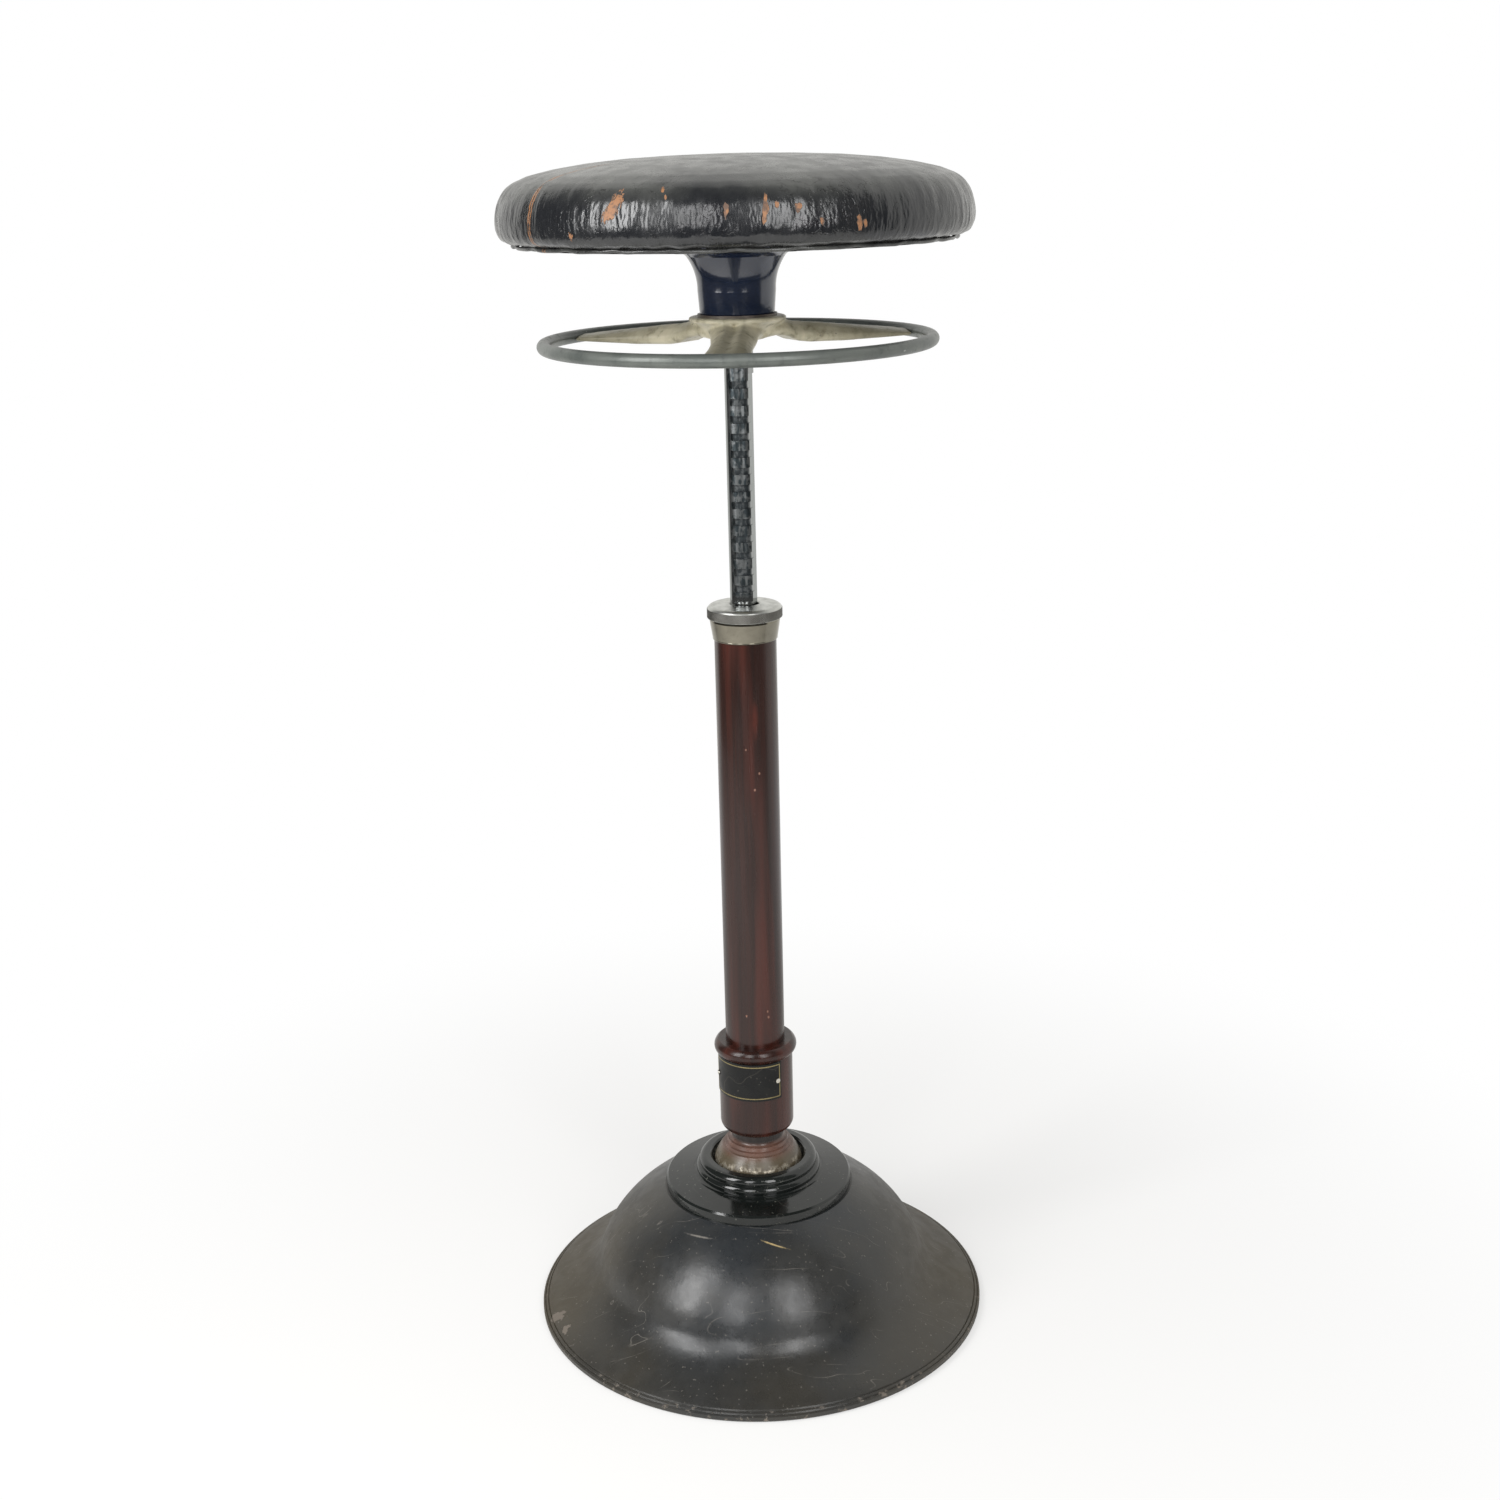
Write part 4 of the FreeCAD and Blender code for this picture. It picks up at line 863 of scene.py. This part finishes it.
@dataclass
class Seat:
    """Round leather seat, stuffed over a board and tacked to its edge."""

    sides: int = 192
    voxel: float = 4.0 * MM
    pressure: float = 4.0
    frames: int = 20
    most: float = 1.0 * MM
    # Below this height and within this radius the hide is tacked to the board.
    held_below: float = 0.9015
    held_within: float = 0.1655
    # The folds begin at this radius and reach their full depth this much further out.
    fold_start: float = 0.14
    fold_run: float = 0.03
    fold_depth: float = 0.5
    fine_depth: float = 0.25
    # The lower edge waves below this height, in full this much lower.
    edge_top: float = 0.900
    edge_run: float = 0.008
    edge_wave: float = 0.9 * MM
    outline: tuple[tuple[float, float], ...] = (
        (158.8, 900.6), (159.6, 895.0), (161.0, 891.2), (164.5, 889.3), (169.4, 889.7), (173.9, 892.3),
        (176.5, 896.4), (177.3, 901.8), (177.1, 907.8), (176.0, 914.4), (173.7, 921.0), (170.0, 926.6),
        (164.4, 931.4), (152.0, 936.2), (132.0, 940.5), (108.0, 944.0), (80.0, 946.6), (45.0, 948.2),
        (10.0, 948.9),
    )

    def build(self) -> bpy.types.Object:
        """Turn, remesh, blow up and crease the seat.

        Returns:
            The finished cushion.
        """
        rings = [(radius * MM, height * MM) for radius, height in self.outline]
        piece = Shop.lathe("seat_cushion_hide", rings, self.sides)
        Shop.apply(piece, "REMESH", mode="VOXEL", voxel_size=self.voxel)
        self.inflate(piece)
        Shop.apply(piece, "SUBSURF", levels=1, render_levels=1)
        self.crease(piece)
        return piece

    def inflate(self, piece: bpy.types.Object) -> None:
        """Swell the stuffing with Blender's cloth, held where the hide meets the board.

        Args:
            piece: the remeshed cushion.
        """
        start = Shop.points(piece)
        out = np.hypot(start[:, 0], start[:, 1])
        held = piece.vertex_groups.new(name="held")
        fixed = np.nonzero((start[:, 2] < self.held_below) & (out < self.held_within))[0]
        held.add([int(n) for n in fixed], 1.0, "REPLACE")
        Shop.take(piece)
        cloth = piece.modifiers.new("Cloth", "CLOTH")
        cloth.settings.use_pressure = True
        cloth.settings.uniform_pressure_force = self.pressure
        cloth.settings.vertex_group_mass = "held"
        cloth.settings.effector_weights.gravity = 0.0
        cloth.point_cache.frame_start = 1
        cloth.point_cache.frame_end = self.frames
        scene = bpy.context.scene
        for step in range(1, self.frames + 1):
            scene.frame_set(step)
        bpy.ops.object.modifier_apply(modifier=cloth.name)
        scene.frame_set(1)
        moved = Shop.points(piece) - start
        size = np.linalg.norm(moved, axis=1, keepdims=True)
        moved *= np.minimum(1.0, self.most / np.maximum(size, 1e-9))
        piece.vertex_groups.clear()
        Shop.put_points(piece, start + moved)

    def crease(self, piece: bpy.types.Object) -> None:
        """Pull the hide into shallow upright folds and a wavy lower edge.

        Args:
            piece: the swollen cushion.
        """
        spots = Shop.points(piece)
        for row in spots:
            out = math.hypot(row[0], row[1])
            if out < self.fold_start:
                continue
            turn = math.atan2(row[1], row[0])
            side = min(1.0, (out - self.fold_start) / self.fold_run)
            wave = ripple.noise(Vector((turn * 22.0, row[2] * 30.0, 0.0)))
            fine = ripple.noise(Vector((turn * 70.0, row[2] * 25.0, 5.0)))
            push = (self.fold_depth * wave + self.fine_depth * fine) * side * MM
            low = max(0.0, min(1.0, (self.edge_top - row[2]) / self.edge_run))
            row[:2] *= 1.0 + push / out
            row[2] += self.edge_wave * low * ripple.noise(Vector((turn * 16.0, 3.0, 0.0)))
        Shop.put_points(piece, spots)

    def dress(self, piece: bpy.types.Object) -> None:
        """Cover the cushion in hide and hang it on the seat."""
        Shop.settle(piece, HIDE, Body.SEAT, "seat_cover", "seat_padding")


@dataclass
class Handwheel:
    """Cast spider of the handwheel, with the soft edges that a sand mould leaves."""

    voxel: float = 1.1 * MM
    rounds: int = 8

    def build(self) -> bpy.types.Object:
        """Remesh and smooth a copy of the plain spider.

        Returns:
            The cast spider.
        """
        piece = Shop.copy_node("wheel_spider", "cast_wheel_spider")
        Shop.apply(piece, "REMESH", mode="VOXEL", voxel_size=self.voxel)
        Shop.apply(piece, "SMOOTH", factor=0.5, iterations=self.rounds)
        return piece

    def dress(self, piece: bpy.types.Object) -> None:
        """Paint the spider cream and hang it on the rod."""
        Shop.settle(piece, CREAM, Body.ROD, "wheel_spider")


@dataclass
class SpringHalf:
    """Half of the return spring: on the stool its top stays flat on the plate while its foot tilts with the
    column; here both halves hang on no body.
    """

    upper: bool
    node: str = "return_spring"
    cut: float = 0.68

    def build(self) -> bpy.types.Object:
        """Cut a copy of the coil across, above the height where the stem leans against it.

        Returns:
            The half coil.
        """
        piece = Shop.copy_node(self.node, "return_spring_top" if self.upper else "return_spring_foot")
        bpy.ops.object.mode_set(mode="EDIT")
        bpy.ops.mesh.select_all(action="SELECT")
        bpy.ops.mesh.bisect(plane_co=(0, 0, self.levels()[1]), plane_no=(0, 0, 1), use_fill=True,
                            clear_inner=self.upper, clear_outer=not self.upper)
        bpy.ops.object.mode_set(mode="OBJECT")
        return piece

    def levels(self) -> tuple[float, float, float]:
        """Heights of the coil's top, cut and foot."""
        low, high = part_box(self.node)
        return high[2], low[2] + self.cut * (high[2] - low[2]), low[2]

    def dress(self, piece: bpy.types.Object) -> None:
        """Oil the coil and bake this half's place into its mesh; it hangs on no body.

        Args:
            piece: the half coil.
        """
        Shop.settle(piece, SPRING, None, self.node)
        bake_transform(piece)


@dataclass
class KnurledBand:
    """Diamond knurl rolled into the edge of the column's cap.

    The teeth of the real one are about a millimetre apart; these are nearly two, so that they show.
    """

    radius: float = 29.22 * MM
    wall: float = 0.5 * MM
    height: float = 0.5 * MM
    teeth: int = 96
    rows: int = 4
    low: float = 602.7 * MM
    high: float = 609.6 * MM

    def build(self) -> bpy.types.Object:
        """Roll the diamonds into a fine band.

        Returns:
            The knurled band.
        """
        along = self.rows * 8
        step = (self.high - self.low) / along
        inner = self.radius - self.wall
        rings = [(inner, self.low), *((self.radius, self.low + step * n) for n in range(along + 1)),
                 (inner, self.high)]
        piece = Shop.lathe("cap_knurl", rings, self.teeth * 4, closed=False, loop=True)
        spots = Shop.points(piece)
        for row in spots:
            out = math.hypot(row[0], row[1])
            if out < self.radius - self.wall / 5:
                continue
            turn = math.atan2(row[1], row[0]) / (2 * math.pi) * self.teeth
            climb = (row[2] - self.low) / (self.high - self.low) * self.rows
            one = abs(((turn + climb) % 1.0) * 2.0 - 1.0)
            two = abs(((turn - climb) % 1.0) * 2.0 - 1.0)
            row[:2] *= 1.0 + self.height * min(one, two) / out
        Shop.put_points(piece, spots)
        return piece

    def dress(self, piece: bpy.types.Object) -> None:
        """Plate the knurl and hang it on the column."""
        Shop.settle(piece, KNURL, Body.COLUMN)


@dataclass
class PlateBorder:
    """Gilt line round the bare black plate on the collar."""

    radius: float = 31.66 * MM
    azimuth: float = -111.0
    half_angle: float = 60.6
    low: float = 198.2 * MM
    high: float = 228.8 * MM
    margin: float = 0.6 * MM
    width: float = 0.9 * MM
    rise: float = 0.14 * MM

    def build(self) -> bpy.types.Object:
        """Inset a flat grid twice, keep the line between, thicken it and wrap it round the plate.

        Returns:
            The curved border.
        """
        long = 2.0 * math.radians(self.half_angle) * self.radius
        tall = self.high - self.low
        Shop.take()
        bpy.ops.mesh.primitive_grid_add(x_subdivisions=72, y_subdivisions=4, size=1.0)
        piece = bpy.context.object
        piece.name = "plate_border"
        piece.scale = (long, tall, 1.0)
        bpy.ops.object.transform_apply(location=True, rotation=True, scale=True)
        bpy.ops.object.mode_set(mode="EDIT")
        bpy.ops.mesh.select_all(action="SELECT")
        bpy.ops.mesh.inset(thickness=self.margin)
        bpy.ops.mesh.inset(thickness=self.width)
        bpy.ops.mesh.delete(type="FACE")
        bpy.ops.object.mode_set(mode="OBJECT")
        edge = self.margin * 0.9
        for face in piece.data.polygons:
            x, y, _ = face.center
            face.select = long / 2 - abs(x) < edge or tall / 2 - abs(y) < edge
        bpy.ops.object.mode_set(mode="EDIT")
        bpy.ops.mesh.delete(type="FACE")
        bpy.ops.mesh.select_all(action="SELECT")
        bpy.ops.mesh.extrude_region_move(TRANSFORM_OT_translate={"value": (0, 0, self.rise)})
        bpy.ops.mesh.select_all(action="SELECT")
        bpy.ops.mesh.normals_make_consistent(inside=False)
        bpy.ops.object.mode_set(mode="OBJECT")
        self.wrap(piece)
        return piece

    def wrap(self, piece: bpy.types.Object) -> None:
        """Bend the flat border round the column's axis, at the plate's height.

        Args:
            piece: the flat border.
        """
        spots = Shop.points(piece)
        turn = math.radians(self.azimuth) + spots[:, 0] / self.radius
        out = self.radius + spots[:, 2]
        up = (self.low + self.high) / 2 + spots[:, 1]
        Shop.put_points(piece, np.column_stack([out * np.cos(turn), out * np.sin(turn), up]))

    def dress(self, piece: bpy.types.Object) -> None:
        """Gild the line and hang it on the column."""
        Shop.settle(piece, GILT, Body.COLUMN)


@dataclass
class Hem:
    """Turned-under edge of the hide, drawn up a little at every tack."""

    radius: float = 164.2 * MM
    height: float = 888.2 * MM
    thick: float = 1.5 * MM
    tacks: int = 24
    sides: int = 480
    facets: int = 10

    def build(self) -> bpy.types.Object:
        """Turn a thin roll and draw it up at the tacks.

        Returns:
            The hem.
        """
        turns = [2.0 * math.pi * n / self.facets for n in range(self.facets)]
        rings = [(self.radius + self.thick * math.cos(turn), self.height + self.thick * math.sin(turn))
                 for turn in turns]
        piece = Shop.lathe("hide_hem", rings, self.sides, closed=False, loop=True)
        spots = Shop.points(piece)
        for row in spots:
            turn = math.atan2(row[1], row[0])
            pull = abs(math.cos(turn * self.tacks / 2.0)) ** 10
            sway = ripple.noise(Vector((turn * 9.0, 7.0, 0.0)))
            row[2] += (1.0 * pull + 0.5 * sway) * MM
            row[:2] *= 1.0 + (0.7 * sway - 0.9 * pull) * MM / self.radius
        Shop.put_points(piece, spots)
        return piece

    def dress(self, piece: bpy.types.Object) -> None:
        """Cover the hem in hide and hang it on the seat."""
        Shop.settle(piece, HIDE, Body.SEAT)


@dataclass
class Fittings:
    """Finishes of the CAD nodes that keep their own shape."""

    finishes: dict[str, Finish] = field(default_factory=lambda: {
        "base_dome": DOME, "socket_ring": RING, "socket_cup": OILED, "socket_bolts": OILED,
        "spring_plate": STEEL, "cross_pin": STEEL, "ball_stem": BALL, "return_spring": SPRING,
        "spring_washer": STEEL, "stem_nut": OILED,
        "column_collar": COLUMN, "collar_screws": OILED, "name_plate": PLATE, "name_plate_rivets": RIVET,
        "column_tube": COLUMN, "ferrule": SATIN, "guide_bush": BRONZE, "knurled_cap": CAP,
        "latch_pin": STEEL,
        "guide_shoe": BRONZE, "height_rod": ROD, "shoe_washer": STEEL, "shoe_screw": OILED,
        "wheel_ring": GREY, "wheel_set_screw": CREAM, "thrust_washer": BROWN, "spindle_washer": STEEL,
        "spindle_screw": OILED, "seat_neck": NECK, "neck_bush": BRONZE, "neck_screws": OILED,
        "seat_board": BOARD, "cover_tacks": TACK, "wheel_spider": CREAM, "seat_cover": HIDE,
        "seat_padding": STUFFING,
    })

    def dress(self) -> None:
        """Put each finish in its node's material slots."""
        for name, finish in self.finishes.items():
            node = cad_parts[name]
            node.data.materials.clear()
            node.data.materials.append(finish.make())
            LOG.info("%s: %s", name, finish.name)


@dataclass(frozen=True)
class SoftBox:
    """A tall soft lamp: where it stands round the stool, how big it is and how strong."""

    name: str
    turn: float
    reach: float
    wide: float
    tall: float
    power: float
    height: float = 1.50
    aim: float = 0.5

    def build(self) -> None:
        """Hang the lamp, and turn it to the middle of the stool."""
        data = bpy.data.lights.new(self.name, "AREA")
        data.shape = "RECTANGLE"
        data.size = self.wide
        data.size_y = self.tall
        data.energy = self.power
        made = bpy.data.objects.new(self.name, data)
        bpy.context.scene.collection.objects.link(made)
        angle = math.radians(self.turn)
        spot = Vector((math.sin(angle) * self.reach, -math.cos(angle) * self.reach, self.height))
        made.location = spot
        made.rotation_euler = (Vector((0, 0, self.aim)) - spot).to_track_quat("-Z", "Y").to_euler()


@dataclass
class Studio:
    """Camera at the photograph's angle, pale floor, white surround and three tall soft lamps."""

    aside: float = 0.0015
    distance: float = 1.500
    height: float = 0.952
    pitch: float = 17.03
    roll: float = -1.4
    lens: float = 47.04
    sensor: float = 36.0
    floor_radius: float = 1.5
    floor_level: float = -0.0004
    # The floor is open within this radius, under the dome, so that light reaches the works.
    floor_hole: float = 0.17
    # Direction in which reflections see a white room, and how dark the rest of it is to them.
    bright_side: Triple = (0.39, 0.92, 0.0)
    dark_room: float = 0.11
    fill: float = 0.40
    lamps: tuple[SoftBox, ...] = (
        SoftBox("left_box", turn=-55.0, reach=2.2, wide=0.75, tall=1.9, power=45.0),
        SoftBox("middle_box", turn=-18.0, reach=2.4, wide=0.70, tall=1.8, power=21.0),
        SoftBox("right_box", turn=23.0, reach=2.3, wide=0.70, tall=1.9, power=27.0),
    )

    def camera(self) -> None:
        """Set up the camera."""
        data = bpy.data.cameras.new("camera")
        data.lens = self.lens
        data.sensor_width = self.sensor
        made = bpy.data.objects.new("camera", data)
        bpy.context.scene.collection.objects.link(made)
        tip = Matrix.Rotation(math.radians(90.0 - self.pitch), 4, "X")
        lean = Matrix.Rotation(math.radians(self.roll), 4, "Z")
        made.matrix_world = Matrix.Translation((self.aside, -self.distance, self.height)) @ tip @ lean
        bpy.context.scene.camera = made

    def towards_light(self, tree: bpy.types.NodeTree, way: Socket, dark: float = 0.0) -> Socket:
        """How far a direction points to the bright side of the room.

        Args:
            tree: node tree to add to.
            way: the direction.
            dark: result on the dark side.

        Returns:
            The share, 1 on the bright side.
        """
        back = add(tree, "VectorMath", {0: way, 1: self.bright_side}, "Value", operation="DOT_PRODUCT")
        return add(tree, "MapRange", {0: back, 1: 0.05, 2: 0.25, 3: dark}, **SMOOTH)

    def floor(self) -> None:
        """Lay a pale floor that fades into the white surround."""
        Shop.take()
        bpy.ops.mesh.primitive_circle_add(vertices=96, radius=self.floor_radius, fill_type="NGON",
                                          location=(0, 0, self.floor_level))
        piece = bpy.context.object
        piece.name = "floor"
        material = bpy.data.materials.new("pale_floor")
        material.use_nodes = True
        tree = material.node_tree
        tree.nodes.clear()
        place = add(tree, "TexCoord", out="Object")
        out = add(tree, "VectorMath", {0: place}, "Value", operation="LENGTH")
        fade = add(tree, "MapRange", {0: out, 1: 0.2, 2: 0.9, 3: 0.55}, **SMOOTH)
        sweep = self.towards_light(tree, add(tree, "VectorMath", {0: place}, operation="NORMALIZE"))
        edge = add(tree, "MapRange", {0: out, 1: 0.6, 2: 1.0}, **SMOOTH)
        rays = add(tree, "LightPath").node.outputs
        mirrored = rays["Is Glossy Ray"]
        for one in (sweep, edge):
            mirrored = add(tree, "Math", {0: mirrored, 1: one}, operation="MULTIPLY")
        glow = add(tree, "Math", {0: fade, 1: rays["Is Camera Ray"], 2: mirrored}, operation="MULTIPLY_ADD")
        matt = add(tree, "BsdfDiffuse", {"Color": linear("f4f3f1")})
        white = add(tree, "Emission", {"Color": (1, 1, 1, 1), "Strength": 1.0})
        top = add(tree, "MixShader", {0: glow, 1: matt, 2: white})
        below = add(tree, "NewGeometry", out="Backfacing")
        hole = add(tree, "Math", {0: out, 1: self.floor_hole}, operation="LESS_THAN")
        unseen = add(tree, "Math", {0: below, 1: hole}, operation="MAXIMUM")
        clear = add(tree, "BsdfTransparent")
        add(tree, "OutputMaterial", {"Surface": add(tree, "MixShader", {0: unseen, 1: top, 2: clear})})
        piece.data.materials.append(material)

    def surround(self) -> None:
        """White room for the eye and for polished metal, darker behind the camera."""
        world = bpy.data.worlds.new("surround")
        bpy.context.scene.world = world
        world.use_nodes = True
        world.cycles.sampling_method = "NONE"
        tree = world.node_tree
        tree.nodes.clear()
        room = self.towards_light(tree, add(tree, "TexCoord", out="Generated"), self.dark_room)
        rays = add(tree, "LightPath").node.outputs
        shiny = {0: rays["Is Glossy Ray"], 1: rays["Is Transmission Ray"]}
        seen = add(tree, "Math", shiny, operation="MAXIMUM")
        level = add(tree, "Mix", {0: seen, 2: self.fill, 3: room})
        shown = add(tree, "Mix", {0: rays["Is Camera Ray"], 2: level, 3: 1.0})
        tone = add(tree, "Mix", {0: rays["Is Camera Ray"], 6: linear("fffefa"), 7: linear("ffffff")}, 2,
                   data_type="RGBA")
        add(tree, "OutputWorld", {"Surface": add(tree, "Background", {"Color": tone, "Strength": shown})})

    def build(self) -> None:
        """Set up camera, floor, surround and lamps, at plain levels."""
        self.camera()
        self.floor()
        self.surround()
        for lamp in self.lamps:
            lamp.build()
        bpy.context.scene.view_settings.view_transform = "Standard"


def main() -> None:
    """Build and dress the stool piece by piece, then the studio."""
    logging.basicConfig(level=logging.INFO, format="%(name)s %(message)s")
    Fittings().dress()
    makers = (Seat(), Hem(), Handwheel(), SpringHalf(upper=True), SpringHalf(upper=False), KnurledBand(),
              PlateBorder())
    for maker in makers:
        maker.dress(maker.build())
    Studio().build()


if __name__ == "__main__":
    main()
